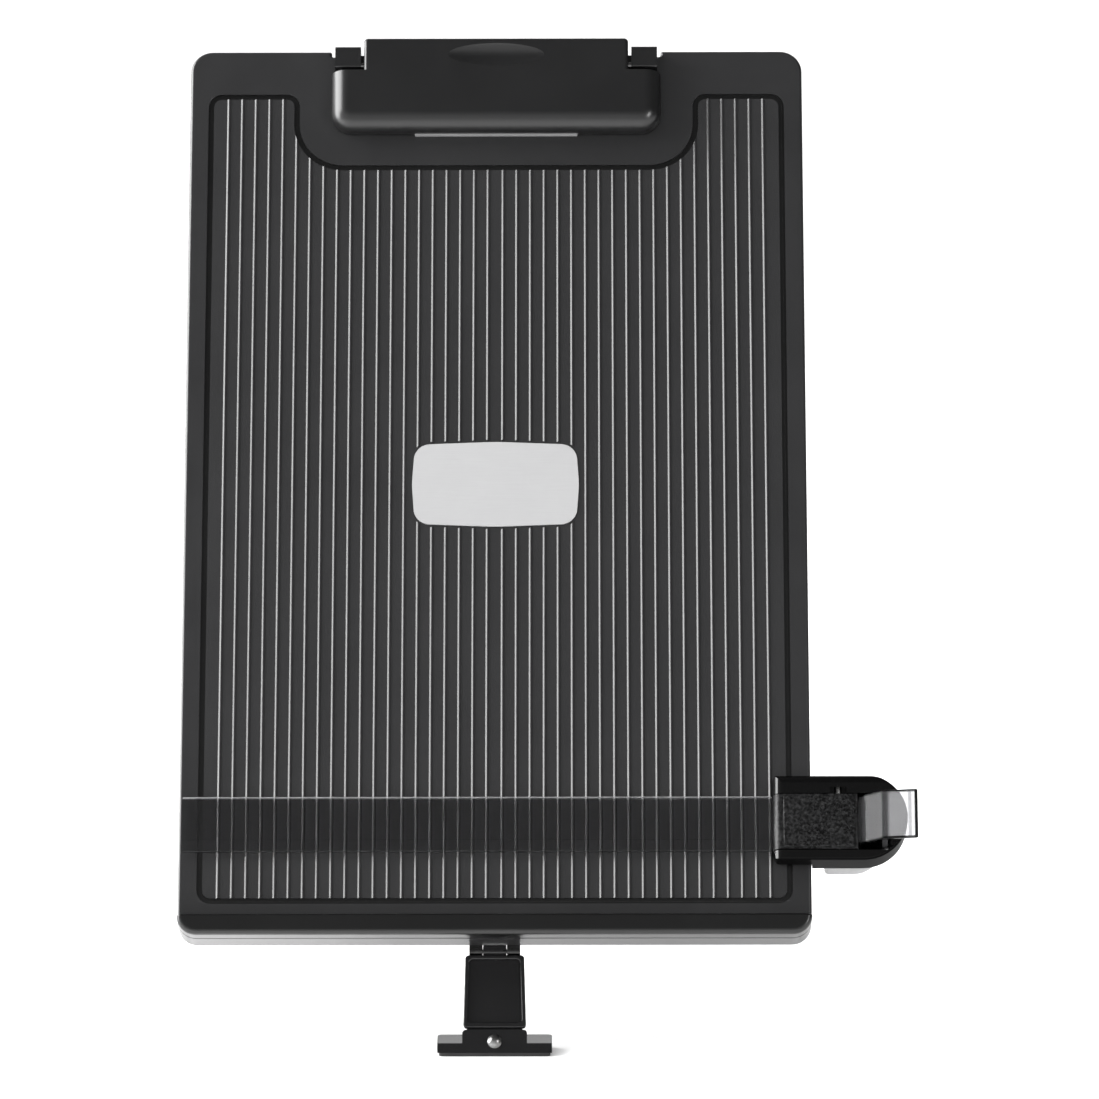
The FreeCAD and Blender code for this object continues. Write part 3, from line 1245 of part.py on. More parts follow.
def make_prop():
    """Forked rear prop, dished at the back, with its barrel on top."""
    half = PROP_THICKNESS / 2
    body = slab(prop_outline(0), -half, half)
    dish = slab(prop_outline(PROP_RIM), -half - 1, -half + PROP_DISH)
    dish = dish.cut(block(-BIG, BIG, -PROP_BARREL_RADIUS - PROP_DISH_TOP, BIG, -BIG, BIG))
    dish = dish.cut(block(-BIG, BIG, -BIG, -PROP_LENGTH + PROP_DISH_LOW, -BIG, BIG))
    body = body.cut(dish)
    braces = []
    for index in range(1, PROP_BRACES + 1):
        v = -PROP_LENGTH * index / (PROP_BRACES + 1) - PROP_BRACE_DROP
        bar = block(-BIG, BIG, v - PROP_BRACE_HALF, v + PROP_BRACE_HALF, -half, half)
        braces.append(bar.common(slab(prop_outline(0), -half, half)))
    body = body.fuse(braces)
    heel_half = PROP_TOP_HALF - PROP_SHOULDER
    heel = block(-heel_half, heel_half, 0, PROP_HEEL, -half, PROP_HEEL_FRONT)
    body = body.fuse([heel, rod_x(PROP_BARREL_RADIUS, -PROP_TOP_HALF, PROP_TOP_HALF, 0, 0)])
    bore = rod_x(PROP_PIN_RADIUS + PIN_CLEARANCE, -PROP_TOP_HALF - 1, PROP_TOP_HALF + 1, 0, 0)
    body = swing_prop(body.cut(bore).removeSplitter())
    floor = Part.makeBox(BIG, BIG, BIG, Vector(-BIG / 2, -BIG / 2 + PROP_FOOT_Y, PROP_PAD_HEIGHT - BIG))
    plate_back = -BOARD_DEPTH - BRACKET_PLATE - PART_GAP
    stop = lean(block(-BIG, BIG, PROP_PIVOT_V - 2 * PROP_HEEL, PROP_PIVOT_V + 2 * PROP_HEEL, plate_back, BIG))
    return body.cut(floor).cut(stop)


def make_prop_feet():
    """Rubber feet under the two ends of the prop."""
    middle = (PROP_FOOT_OUTER + PROP_FOOT_INNER) / 2
    half_x = (PROP_FOOT_OUTER - PROP_FOOT_INNER) / 2 + PROP_PAD_MARGIN
    half_y = PROP_THICKNESS / 2 + PROP_PAD_MARGIN
    feet = []
    for side in (-1, 1):
        corner = Vector(side * middle - half_x, PROP_FOOT_Y - half_y, 0)
        foot = Part.makeBox(2 * half_x, 2 * half_y, PROP_PAD_HEIGHT, corner)
        upright = [edge for edge in foot.Edges if abs(edge.Vertexes[0].Z - edge.Vertexes[-1].Z) > 0.5]
        feet.append(foot.makeFillet(PROP_PAD_CORNER, upright))
    return Part.makeCompound(feet)


def make_bracket():
    """Bracket on the board's back with two ears for the prop's pin."""
    inner = PROP_TOP_HALF + PART_GAP
    outer = inner + BRACKET_EAR
    plate_half = bracket_half_width()
    low = PROP_PIVOT_V - BRACKET_HALF_HEIGHT
    high = PROP_PIVOT_V + BRACKET_HALF_HEIGHT
    outline = rectangle(-plate_half, plate_half, low, high, BRACKET_CORNER)
    plate = slab(outline, -BOARD_DEPTH - BRACKET_PLATE, -BOARD_DEPTH)
    pieces = []
    ear_radius = PROP_BARREL_RADIUS + BRACKET_EAR_WALL
    root = ear_radius + BRACKET_EAR_ROOT
    waist = ear_radius * BRACKET_EAR_WAIST
    for side in (-1, 1):
        x_low = min(side * inner, side * outer)
        pieces.append(rod_x(ear_radius, x_low, x_low + BRACKET_EAR, PROP_PIVOT_V, -PROP_PIVOT_Y))
        pieces.append(profile_x([
            (PROP_PIVOT_V - root, -BOARD_DEPTH - 1, 0),
            (PROP_PIVOT_V - waist, -PROP_PIVOT_Y, 0),
            (PROP_PIVOT_V + waist, -PROP_PIVOT_Y, 0),
            (PROP_PIVOT_V + root, -BOARD_DEPTH - 1, 0),
        ], x_low, x_low + BRACKET_EAR))
    body = plate.fuse(pieces).removeSplitter()
    relief = rod_x(PROP_BARREL_RADIUS + PART_GAP, -inner, inner, PROP_PIVOT_V, -PROP_PIVOT_Y)
    holes = [rod_w(SCREW_RADIUS, -BOARD_DEPTH - BRACKET_PLATE - 1, 0, x, v)
             for x, v in bracket_screw_places()]
    holes.append(rod_x(PROP_PIN_RADIUS, -outer - 1, outer + 1, PROP_PIVOT_V, -PROP_PIVOT_Y))
    return body.cut(relief).cut(Part.makeCompound(holes))


def make_prop_pin():
    """Pin of the prop."""
    outer = PROP_TOP_HALF + PART_GAP + BRACKET_EAR + PROP_PIN_PROUD
    return rod_x(PROP_PIN_RADIUS, -outer, outer, PROP_PIVOT_V, -PROP_PIVOT_Y)


def screws(places, w_tip, w_head):
    """Group of equal screws."""
    return Part.makeCompound([screw(x, v, w_tip, w_head) for x, v in places])


def save(name, shape):
    """Write one piece to its file."""
    shape.exportStep("parts/%s.step" % name)


def main():
    """Build every piece and write it."""
    os.makedirs("parts", exist_ok=True)
    jaw_back = -(BOARD_DEPTH + SLIDE_GAP + PAD_THICKNESS + JAW_THICKNESS)
    clip_screws = [(side * CLIP_SCREW_X, clip_screw_v()) for side in (-1, 1)]
    ledge_screws = [(side * LEDGE_SCREW_X, ledge_screw_v()) for side in (-1, 1)]
    on_board = {
        "board_panel": make_board(),
        "paper_ledge": make_ledge(),
        "label_plate": make_label(),
        "clip_base": make_clip_base(),
        "clip_lever": make_clip_lever(),
        "clip_grip_strip": make_clip_grip(),
        "clip_pin": make_clip_pin(),
        "clip_springs": make_clip_springs(),
        "clip_screws": screws(clip_screws, CLIP_SCREW_TIP, -BOARD_DEPTH + SCREW_RECESS),
        "ledge_screws": screws(ledge_screws, LEDGE_SCREW_TIP, -BOARD_DEPTH + SCREW_RECESS),
        "slider_body": make_slider_body(),
        "slider_back_jaw": make_slider_jaw(),
        "slider_friction_pad": make_friction_pad(),
        "slider_screws": screws(jaw_screw_places(), -SLIDER_BACK + SHORT_SCREW, jaw_back + JAW_SCREW_SEAT),
        "rocker_block": make_rocker(),
        "rocker_pin": make_rocker_pin(),
        "rocker_spring": make_rocker_spring(),
        "line_guide_blade": make_blade(),
        "finger_tab": make_finger_tab(),
        "leg_hinge_leaf": make_hinge_leaf(),
        "leg_hinge_pin": hinge_axis_bar(HINGE_PIN_RADIUS, -HINGE_HALF, HINGE_HALF),
        "leg_hinge_screws": screws(leg_screw_places(), -BOARD_DEPTH + SHORT_SCREW,
                                   -BOARD_DEPTH - HINGE_LEAF_THICKNESS),
        "front_leg": make_leg(),
        "foot_rivet": make_rivet(),
        "prop_bracket": make_bracket(),
        "prop_pin": make_prop_pin(),
        "prop_bracket_screws": screws(bracket_screw_places(), -BOARD_DEPTH + SHORT_SCREW,
                                      -BOARD_DEPTH - BRACKET_PLATE),
    }
    for name, shape in on_board.items():
        save(name, lean(shape))
    save("foot", make_foot())
    save("foot_pad", make_foot_pad())
    save("rear_prop", make_prop())
    save("prop_feet", make_prop_feet())
    y, z = ground_point(CLIP_PIN_V, CLIP_PIN_HEIGHT)
    print("clip axis y %.4f z %.4f" % (y, z))
    y, z = ground_point(-HINGE_DROP, -HINGE_Y)
    print("leg axis y %.4f z %.4f" % (y, z))
    print("prop axis y %.4f z %.4f opening %.3f" % (PROP_AXIS_Y, PROP_AXIS_Z, PROP_OPENING))
    y, z = ground_point(ROCKER_MIDDLE, ROCKER_PIN_W)
    print("rocker axis x %.4f y %.4f z %.4f" % (ROCKER_PIN_X, y, z))


main()
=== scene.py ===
"""Looks of a copy holder with a line guide.

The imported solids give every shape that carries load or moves. This script dresses them, builds
the coil springs, the cross-head screws and the grained skin of the rocking block, and sets up the
floor, the lights and the camera. Lengths are metres. The desk is the plane z = 0, and the board
leans back from it. Board coordinates are x across the board, v up it and w out of its face.
"""

import json
import logging
import math
from collections.abc import Callable, Iterable
from dataclasses import dataclass
from enum import Enum
from typing import ClassVar

import bmesh
import bpy
from mathutils import Matrix, Vector


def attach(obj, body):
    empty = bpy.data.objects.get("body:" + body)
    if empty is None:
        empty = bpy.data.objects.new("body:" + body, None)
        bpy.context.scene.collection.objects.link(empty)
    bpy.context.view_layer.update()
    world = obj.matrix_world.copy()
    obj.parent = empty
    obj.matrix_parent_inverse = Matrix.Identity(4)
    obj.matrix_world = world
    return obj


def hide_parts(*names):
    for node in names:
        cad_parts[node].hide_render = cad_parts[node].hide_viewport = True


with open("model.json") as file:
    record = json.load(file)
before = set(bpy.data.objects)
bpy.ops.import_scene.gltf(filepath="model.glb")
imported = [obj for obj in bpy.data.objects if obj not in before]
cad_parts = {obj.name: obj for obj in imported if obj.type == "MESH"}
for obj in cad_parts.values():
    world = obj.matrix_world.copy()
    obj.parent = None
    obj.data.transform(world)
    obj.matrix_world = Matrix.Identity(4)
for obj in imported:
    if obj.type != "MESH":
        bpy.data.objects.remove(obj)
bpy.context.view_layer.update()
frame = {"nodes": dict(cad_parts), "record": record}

LOG = logging.getLogger("copy_holder")

MM = 0.001
LEAN = math.radians(28.0)
BOARD_ORIGIN = Vector((0.0, 2.713, 40.672)) * MM
SMOOTH_ANGLE = math.radians(35.0)
WELD = 1e-7
FACING = 0.9

Socket = bpy.types.NodeSocket
Colour = tuple[float, float, float]
WHITE: Colour = (1.0, 1.0, 1.0)


def shade(tone: float, red: float, green: float, blue: float) -> Colour:
    """Scale a tone for red, green and blue."""
    return tone * red, tone * green, tone * blue


class Slot(Enum):
    """Material slots of the record."""

    BOARD = "board_black"
    CLIP = "clip_black"
    SLIDER = "slider_black"
    JAW = "jaw_pale"
    ROCKER = "rocker_black"
    LEG = "leg_black"
    PROP = "prop_black"
    RUBBER = "rubber_black"
    GRIP = "grip_grey"
    LABEL = "label_grey"
    BLADE = "clear_blade"
    TAB = "clear_tab"
    DARK_STEEL = "dark_steel"
    STEEL = "steel"


class Body(Enum):
    """Bodies of the part that new pieces ride on."""

    BOARD = "board"
    SLIDER = "slider"
    LINE_GUIDE = "line_guide"


def board_matrix() -> Matrix:
    """Turn board coordinates into places on the desk.

    Returns:
        The 4 by 4 matrix of the leaned board.
    """
    sine, cosine = math.sin(LEAN), math.cos(LEAN)
    turn = Matrix(((1, 0, 0), (0, sine, -cosine), (0, cosine, sine))).to_4x4()
    return Matrix.Translation(BOARD_ORIGIN) @ turn


class Bench:
    """Small helpers round the modelling operators."""

    @staticmethod
    def clear() -> None:
        """Deselect everything, in object mode."""
        if bpy.context.mode != "OBJECT":
            bpy.ops.object.mode_set(mode="OBJECT")
        bpy.ops.object.select_all(action="DESELECT")

    @staticmethod
    def activate(obj: bpy.types.Object) -> None:
        """Make one object the selected and active one.

        Args:
            obj: The object to work on.
        """
        Bench.clear()
        obj.select_set(True)
        bpy.context.view_layer.objects.active = obj

    @staticmethod
    def edit(obj: bpy.types.Object, mode: str) -> None:
        """Open an object in edit mode with nothing selected.

        Args:
            obj: The object to open.
            mode: EDGE or FACE.
        """
        Bench.activate(obj)
        bpy.ops.object.mode_set(mode="EDIT")
        bpy.ops.mesh.select_mode(type=mode)
        bpy.ops.mesh.select_all(action="DESELECT")

    @staticmethod
    def pick(obj: bpy.types.Object, part: str, test: Callable[[object], bool]) -> None:
        """Select just the edges or faces that pass a test.

        Args:
            obj: The object open in edit mode.
            part: "edges" or "faces".
            test: Says whether an element is wanted.
        """
        mesh = bmesh.from_edit_mesh(obj.data)
        for element in getattr(mesh, part):
            element.select_set(bool(test(element)))
        mesh.select_flush_mode()
        bmesh.update_edit_mesh(obj.data)

    @staticmethod
    def close(obj: bpy.types.Object) -> None:
        """Leave edit mode with faces pointing outwards.

        Args:
            obj: The object open in edit mode.
        """
        bpy.ops.mesh.select_mode(type="VERT")
        bpy.ops.mesh.select_all(action="SELECT")
        bpy.ops.mesh.remove_doubles(threshold=WELD)
        bpy.ops.mesh.normals_make_consistent(inside=False)
        bpy.ops.object.mode_set(mode="OBJECT")

    @staticmethod
    def extrude(move: tuple[float, float, float]) -> None:
        """Extrude what is selected and move it."""
        bpy.ops.mesh.extrude_region_move(TRANSFORM_OT_translate={"value": move})

    @staticmethod
    def smooth(obj: bpy.types.Object) -> None:
        """Shade an object smooth between its sharp edges."""
        Bench.activate(obj)
        bpy.ops.object.shade_smooth_by_angle(angle=SMOOTH_ANGLE)

    @staticmethod
    def settle() -> None:
        """Put the place, turn and size of what is selected into its mesh."""
        bpy.ops.object.transform_apply(location=True, rotation=True, scale=True)

    @staticmethod
    def bake(obj: bpy.types.Object, place: Matrix) -> None:
        """Put an object's place into its mesh.

        Args:
            obj: The object, drawn at the origin.
            place: Where it goes.
        """
        Bench.activate(obj)
        obj.matrix_world = place
        Bench.settle()

    @staticmethod
    def apply_modifiers(obj: bpy.types.Object) -> None:
        """Apply every modifier in order.

        Args:
            obj: The object that carries them.
        """
        Bench.activate(obj)
        for modifier in list(obj.modifiers):
            bpy.ops.object.modifier_apply(modifier=modifier.name)

    @staticmethod
    def copy(obj: bpy.types.Object, name: str) -> bpy.types.Object:
        """Copy an object with a mesh of its own.

        Args:
            obj: The object to copy.
            name: The copy's name.

        Returns:
            The copy.
        """
        twin = obj.copy()
        twin.data = obj.data.copy()
        twin.name = name
        bpy.context.scene.collection.objects.link(twin)
        return twin

    @staticmethod
    def join(parts: list[bpy.types.Object], name: str) -> bpy.types.Object:
        """Join objects into the first one.

        Args:
            parts: The objects.
            name: The name of the result.

        Returns:
            The joined object.
        """
        Bench.clear()
        for part in parts:
            part.select_set(True)
        bpy.context.view_layer.objects.active = parts[0]
        bpy.ops.object.join()
        parts[0].name = name
        parts[0].data.name = name
        return parts[0]


class Nodes:
    """Builds one node tree, left to right."""

    def __init__(self, tree: bpy.types.NodeTree) -> None:
        """Start on an empty tree.

        Args:
            tree: The node tree to fill.
        """
        self.tree = tree
        self.tree.nodes.clear()

    def add(self, kind: str, inputs: dict[str | int, object] | None = None,
            **settings: object) -> bpy.types.Node:
        """Add a node.

        Args:
            kind: The node's type.
            inputs: Sockets to link and values to set, by the input's name or number.
            settings: Values of its own properties.

        Returns:
            The node.
        """
        node = self.tree.nodes.new(kind)
        for name, value in settings.items():
            setattr(node, name, value)
        self.feed(node, inputs or {})
        return node

    def feed(self, node: bpy.types.Node, inputs: dict[str | int, object]) -> None:
        """Link sockets to a node's inputs, or set the inputs to values.

        Args:
            node: The node.
            inputs: The sockets and values, by the input's name or number.
        """
        for key, value in inputs.items():
            if isinstance(value, Socket):
                self.tree.links.new(value, node.inputs[key])
            else:
                node.inputs[key].default_value = value

    def math(self, operation: str, first: object, second: object = 0.0) -> Socket:
        """Add a Math node.

        Args:
            operation: What it does.
            first: A socket or a number.
            second: A socket or a number.

        Returns:
            Its output.
        """
        return self.add("ShaderNodeMath", {0: first, 1: second}, operation=operation).outputs[0]

    def ramp(self, source: Socket, low: float, high: float, start: float = 0.0,
             end: float = 1.0) -> Socket:
        """Map a range of values onto another, held at both ends.

        Args:
            source: The value.
            low: Where the input range starts.
            high: Where it ends.
            start: Result at low.
            end: Result at high.

        Returns:
            The mapped value.
        """
        inputs = {"Value": source, "From Min": low, "From Max": high, "To Min": start,
                  "To Max": end}
        return self.add("ShaderNodeMapRange", inputs, clamp=True).outputs["Result"]

    def between(self, factor: Socket, start: float, end: float) -> Socket:
        """Map nought to one onto a range."""
        return self.ramp(factor, 0.0, 1.0, start, end)

    def product(self, *factors: object) -> Socket:
        """Multiply sockets and numbers.

        Args:
            factors: Two or more sockets or numbers.

        Returns:
            Their product.
        """
        result = factors[0]
        for factor in factors[1:]:
            result = self.math("MULTIPLY", result, factor)
        return result

    def weigh(self, first: Socket, second: Socket, share: float) -> Socket:
        """Add a share of one value to the rest of another."""
        return self.math("ADD", self.product(first, share), self.product(second, 1.0 - share))

    def reach(self, side: Socket, rise: Socket) -> Socket:
        """Work out the distance that two offsets at right angles make."""
        squares = self.math("ADD", self.product(side, side), self.product(rise, rise))
        return self.math("SQRT", squares)

    def mix(self, first: Colour | Socket, second: Colour, factor: Socket) -> Socket:
        """Mix two colours.

        Args:
            first: The colour at nought, plain or as a socket.
            second: The colour at one.
            factor: How far to go, from nought to one.

        Returns:
            The mixed colour.
        """
        start = first if isinstance(first, Socket) else (*first, 1.0)
        inputs = {"A": start, "B": (*second, 1.0), "Factor": factor}
        return self.add("ShaderNodeMix", inputs, data_type="RGBA").outputs["Result"]

    def bump(self, shader: bpy.types.Node, height: Socket, distance: float) -> None:
        """Raise a shader's surface.

        Args:
            shader: The shader.
            height: The height, from nought to one.
            distance: How far one stands out.
        """
        node = self.add("ShaderNodeBump", {"Distance": distance, "Height": height})
        self.feed(shader, {"Normal": node.outputs["Normal"]})

    def group(self, name: str, place: Socket, **values: float) -> bpy.types.bpy_prop_collection:
        """Place a shared group.

        Args:
            name: The group's name.
            place: The coordinates it reads.
            values: Its other inputs.

        Returns:
            The group node's outputs, by name.
        """
        tree = bpy.data.node_groups[name]
        return self.add("ShaderNodeGroup", {"Place": place, **values}, node_tree=tree).outputs


def open_material(name: str) -> tuple[bpy.types.Material, Nodes, bpy.types.Node, Socket]:
    """Start a material with a shader and object coordinates.

    Args:
        name: The material's name.

    Returns:
        The material, its tree builder, its shader node and the place socket.
    """
    material = bpy.data.materials.new(name)
    material.use_nodes = True
    nodes = Nodes(material.node_tree)
    shader = nodes.add("ShaderNodeBsdfPrincipled")
    nodes.add("ShaderNodeOutputMaterial", {"Surface": shader.outputs["BSDF"]})
    return material, nodes, shader, nodes.add("ShaderNodeTexCoord").outputs["Object"]


@dataclass(frozen=True)
class PanelPlaces:
    """Where the board's tones change, in board coordinates."""

    half_width: float = 104.4 * MM
    low: float = 13.4 * MM
    high: float = 318.7 * MM
    thick: float = 1.0 * MM
    bay_side: float = 56.8 * MM
    bay_low: float = 307.9 * MM
    bay_round: float = 16.0 * MM
    ledge_top: float = 8.0 * MM
    ledge_out: float = 0.1 * MM
    underside_top: float = 0.4 * MM
    channel_brim: float = -0.15 * MM
    channel_sunk: float = -0.3 * MM
    channel_floor: float = -1.2 * MM
    channel_low: float = 9.0 * MM
    channel_side: float = 107.5 * MM


@dataclass(frozen=True)
class TabPlaces:
    """Where the finger tab's parts meet, in board coordinates."""

    middle_up: float = 41.4 * MM
    ramp_end: float = 138.2 * MM
    flat_start: float = 139.4 * MM
    bend_start: float = 145.6 * MM
    bend_end: float = 147.2 * MM
    bend_soft: float = 0.4 * MM
    tip_rim: float = 147.9 * MM
    side_rim: float = 8.0 * MM
    rim_soft: float = 0.3 * MM


@dataclass(frozen=True)
class SliderPlaces:
    """Where the slider's round end and its satin wall lie, in board coordinates."""

    centre_across: float = 130.25 * MM
    centre_up: float = 42.25 * MM
    wall_start: float = 15.0 * MM
    wall_full: float = 15.3 * MM


class SharedEffects:
    """Node groups that more than one finish uses."""

    GRAIN = "mould_grain"
    SMUDGE = "handling_smudge"
    HAIRLINE = "hairline_scratches"
    PANEL = "panel_zone"
    BOARD_PLACE = "board_place"
    SLIDER_WALL = "slider_wall"
    TAB_AREAS = "tab_areas"

    FINE_RATIO = 1.9
    SPECKLE_RANGE = (0.42, 0.68)
    SMUDGE_RANGE = (0.38, 0.72)
    HAIRLINE_RANGE = (0.35, 0.7)

    @staticmethod
    def start(name: str, inputs: Iterable[str], outputs: Iterable[str]) -> tuple[
            Nodes, bpy.types.bpy_prop_collection, bpy.types.Node]:
        """Begin a group with a place and named numbers.

        Args:
            name: The group's name.
            inputs: Names of its numbers.
            outputs: Names of its results.

        Returns:
            The tree builder, what comes into the group by name, and its output node.
        """
        tree = bpy.data.node_groups.new(name, "ShaderNodeTree")
        tree.interface.new_socket("Place", in_out="INPUT", socket_type="NodeSocketVector")
        for way, names in (("INPUT", inputs), ("OUTPUT", outputs)):
            for key in names:
                tree.interface.new_socket(key, in_out=way, socket_type="NodeSocketFloat")
        nodes = Nodes(tree)
        return nodes, nodes.add("NodeGroupInput").outputs, nodes.add("NodeGroupOutput")

    @classmethod
    def build(cls) -> None:
        """Build every shared group once."""
        for build in (cls.build_grain, cls.build_smudge, cls.build_hairline, cls.build_board_place,
                      cls.build_panel, cls.build_slider_wall, cls.build_tab_areas):
            build()

    @classmethod
    def build_grain(cls) -> None:
        """Pebbled skin of a moulded part: cells with finer noise on them."""
        nodes, entry, leave = cls.start(cls.GRAIN, ("Scale", "Fine"), ("Height", "Speckle"))
        place, scale = entry["Place"], entry["Scale"]
        cells = nodes.add("ShaderNodeTexVoronoi",
                          {"Vector": place, "Scale": scale, "Smoothness": 0.6},
                          feature="SMOOTH_F1")
        fine_scale = nodes.product(scale, cls.FINE_RATIO)
        noise = nodes.add("ShaderNodeTexNoise",
                          {"Vector": place, "Scale": fine_scale, "Detail": 3.0}).outputs["Fac"]
        fine = nodes.product(noise, entry["Fine"])
        nodes.feed(leave, {"Height": nodes.math("ADD", cells.outputs["Distance"], fine),
                           "Speckle": nodes.ramp(noise, *cls.SPECKLE_RANGE)})

    @classmethod
    def build_smudge(cls) -> None:
        """Broad soft patches that handling leaves on plastic."""
        nodes, entry, leave = cls.start(cls.SMUDGE, ("Scale",), ("Mask",))
        broad = nodes.add("ShaderNodeTexNoise",
                          {"Vector": entry["Place"], "Scale": entry["Scale"], "Detail": 4.0,
                           "Roughness": 0.62, "Distortion": 0.8})
        nodes.feed(leave, {"Mask": nodes.ramp(broad.outputs["Fac"], *cls.SMUDGE_RANGE)})

    @classmethod
    def build_hairline(cls) -> None:
        """Thin stretched streaks, as on drawn steel or wiped plastic."""
        nodes, entry, leave = cls.start(cls.HAIRLINE, ("Along", "Across"), ("Mask",))
        scale = nodes.add("ShaderNodeCombineXYZ",
                          {"X": entry["Along"], "Y": entry["Across"], "Z": entry["Across"]})
        stretch = nodes.add("ShaderNodeVectorMath",
                            {0: entry["Place"], 1: scale.outputs["Vector"]}, operation="MULTIPLY")
        noise = nodes.add("ShaderNodeTexNoise",
                          {"Vector": stretch.outputs["Vector"], "Scale": 1.0, "Detail": 2.0})
        nodes.feed(leave, {"Mask": nodes.ramp(noise.outputs["Fac"], *cls.HAIRLINE_RANGE)})

    @classmethod
    def build_board_place(cls) -> None:
        """Read a place across the board, up it and out of its face."""
        nodes, entry, leave = cls.start(cls.BOARD_PLACE, (), ("Across", "Up", "Out"))
        turn = nodes.add("ShaderNodeVectorRotate",
                         {"Vector": entry["Place"], "Center": BOARD_ORIGIN, "Angle": LEAN},
                         rotation_type="X_AXIS")
        parts = nodes.add("ShaderNodeSeparateXYZ", {"Vector": turn.outputs["Vector"]}).outputs
        nodes.feed(leave, {"Across": parts["X"],
                           "Up": nodes.math("SUBTRACT", parts["Z"], BOARD_ORIGIN.z),
                           "Out": nodes.math("SUBTRACT", BOARD_ORIGIN.y, parts["Y"])})

    @classmethod
    def build_panel(cls) -> None:
        """Tell the ribbed panel, the paper ledge, the channel and the underside apart; the
        channel's mask carries painted shade.
        """
        nodes, entry, leave = cls.start(cls.PANEL, (), ("Mask", "Ledge", "ChannelShade", "Underside"))
        at = PanelPlaces()
        parts = nodes.group(cls.BOARD_PLACE, entry["Place"])
        up, out = parts["Up"], parts["Out"]
        across = nodes.math("ABSOLUTE", parts["Across"])
        inside = nodes.math("LESS_THAN", across, at.half_width)
        above = nodes.math("GREATER_THAN", up, at.low)
        below = nodes.math("LESS_THAN", up, at.high)
        near = nodes.math("LESS_THAN", nodes.math("ABSOLUTE", out), at.thick)
        bay_side = nodes.math("MAXIMUM", nodes.math("SUBTRACT", across, at.bay_side), 0.0)
        bay_low = nodes.math("MAXIMUM", nodes.math("SUBTRACT", at.bay_low, up), 0.0)
        outside_bay = nodes.math("GREATER_THAN", nodes.reach(bay_side, bay_low), at.bay_round)
        mask = nodes.product(inside, above, below, near, outside_bay)
        low = nodes.math("LESS_THAN", up, at.ledge_top)
        proud = nodes.math("GREATER_THAN", out, at.ledge_out)
        ledge = nodes.product(low, proud)
        underside = nodes.math("LESS_THAN", up, at.underside_top)
        sunk = nodes.ramp(out, at.channel_sunk, at.channel_brim, 1.0, 0.0)
        floor = nodes.math("GREATER_THAN", out, at.channel_floor)
        over = nodes.math("GREATER_THAN", up, at.channel_low)
        within = nodes.math("LESS_THAN", across, at.channel_side)
        channel = nodes.product(sunk, floor, over, within)
        nodes.feed(leave, {"Mask": mask, "Ledge": ledge, "ChannelShade": channel,
                           "Underside": underside})

    @classmethod
    def build_tab_areas(cls) -> None:
        """Tell the finger tab's sloping part, its bent tip and its cut rim apart, for painted shade
        on each.
        """
        nodes, entry, leave = cls.start(cls.TAB_AREAS, (), ("Ramp", "Bend", "Rim"))
        at = TabPlaces()
        parts = nodes.group(cls.BOARD_PLACE, entry["Place"])
        across = parts["Across"]
        side = nodes.math("ABSOLUTE", nodes.math("SUBTRACT", parts["Up"], at.middle_up))
        slope = nodes.ramp(across, at.ramp_end, at.flat_start, 1.0, 0.0)
        far = nodes.ramp(across, at.tip_rim, at.tip_rim + at.rim_soft)
        edge = nodes.ramp(side, at.side_rim, at.side_rim + at.rim_soft)
        start = nodes.ramp(across, at.bend_start, at.bend_start + at.bend_soft)
        stop = nodes.ramp(across, at.bend_end - at.bend_soft, at.bend_end, 1.0, 0.0)
        nodes.feed(leave, {"Ramp": slope, "Rim": nodes.math("MAXIMUM", far, edge),
                           "Bend": nodes.product(start, stop)})

    @classmethod
    def build_slider_wall(cls) -> None:
        """One on the satin wall under the slider and round its lower end."""
        nodes, entry, leave = cls.start(cls.SLIDER_WALL, (), ("Mask",))
        at = SliderPlaces()
        parts = nodes.group(cls.BOARD_PLACE, entry["Place"])
        past = nodes.math("SUBTRACT", parts["Across"], at.centre_across)
        beyond = nodes.math("MAXIMUM", past, 0.0)
        off = nodes.math("SUBTRACT", parts["Up"], at.centre_up)
        outer = nodes.ramp(nodes.reach(beyond, off), at.wall_start, at.wall_full)
        lower = nodes.math("LESS_THAN", off, 0.0)
        nodes.feed(leave, {"Mask": nodes.product(outer, lower)})


@dataclass(frozen=True)
class Finish:
    """A finish with its record slot; the kinds below build their own materials."""

    slot: Slot

    def build(self) -> bpy.types.Material:
        """Build the material."""
        raise NotImplementedError


class Zone(Enum):
    """Which part of a moulded piece gets a tone or gloss of its own."""

    PLAIN = "plain"
    BOARD = "board"
    SLIDER = "slider"
    GRAINED = "grained"


@dataclass
class Look:
    """What a moulded plastic feeds its shader with."""

    colour: Socket
    rough: Socket
    height: Socket
    coat: Socket | float


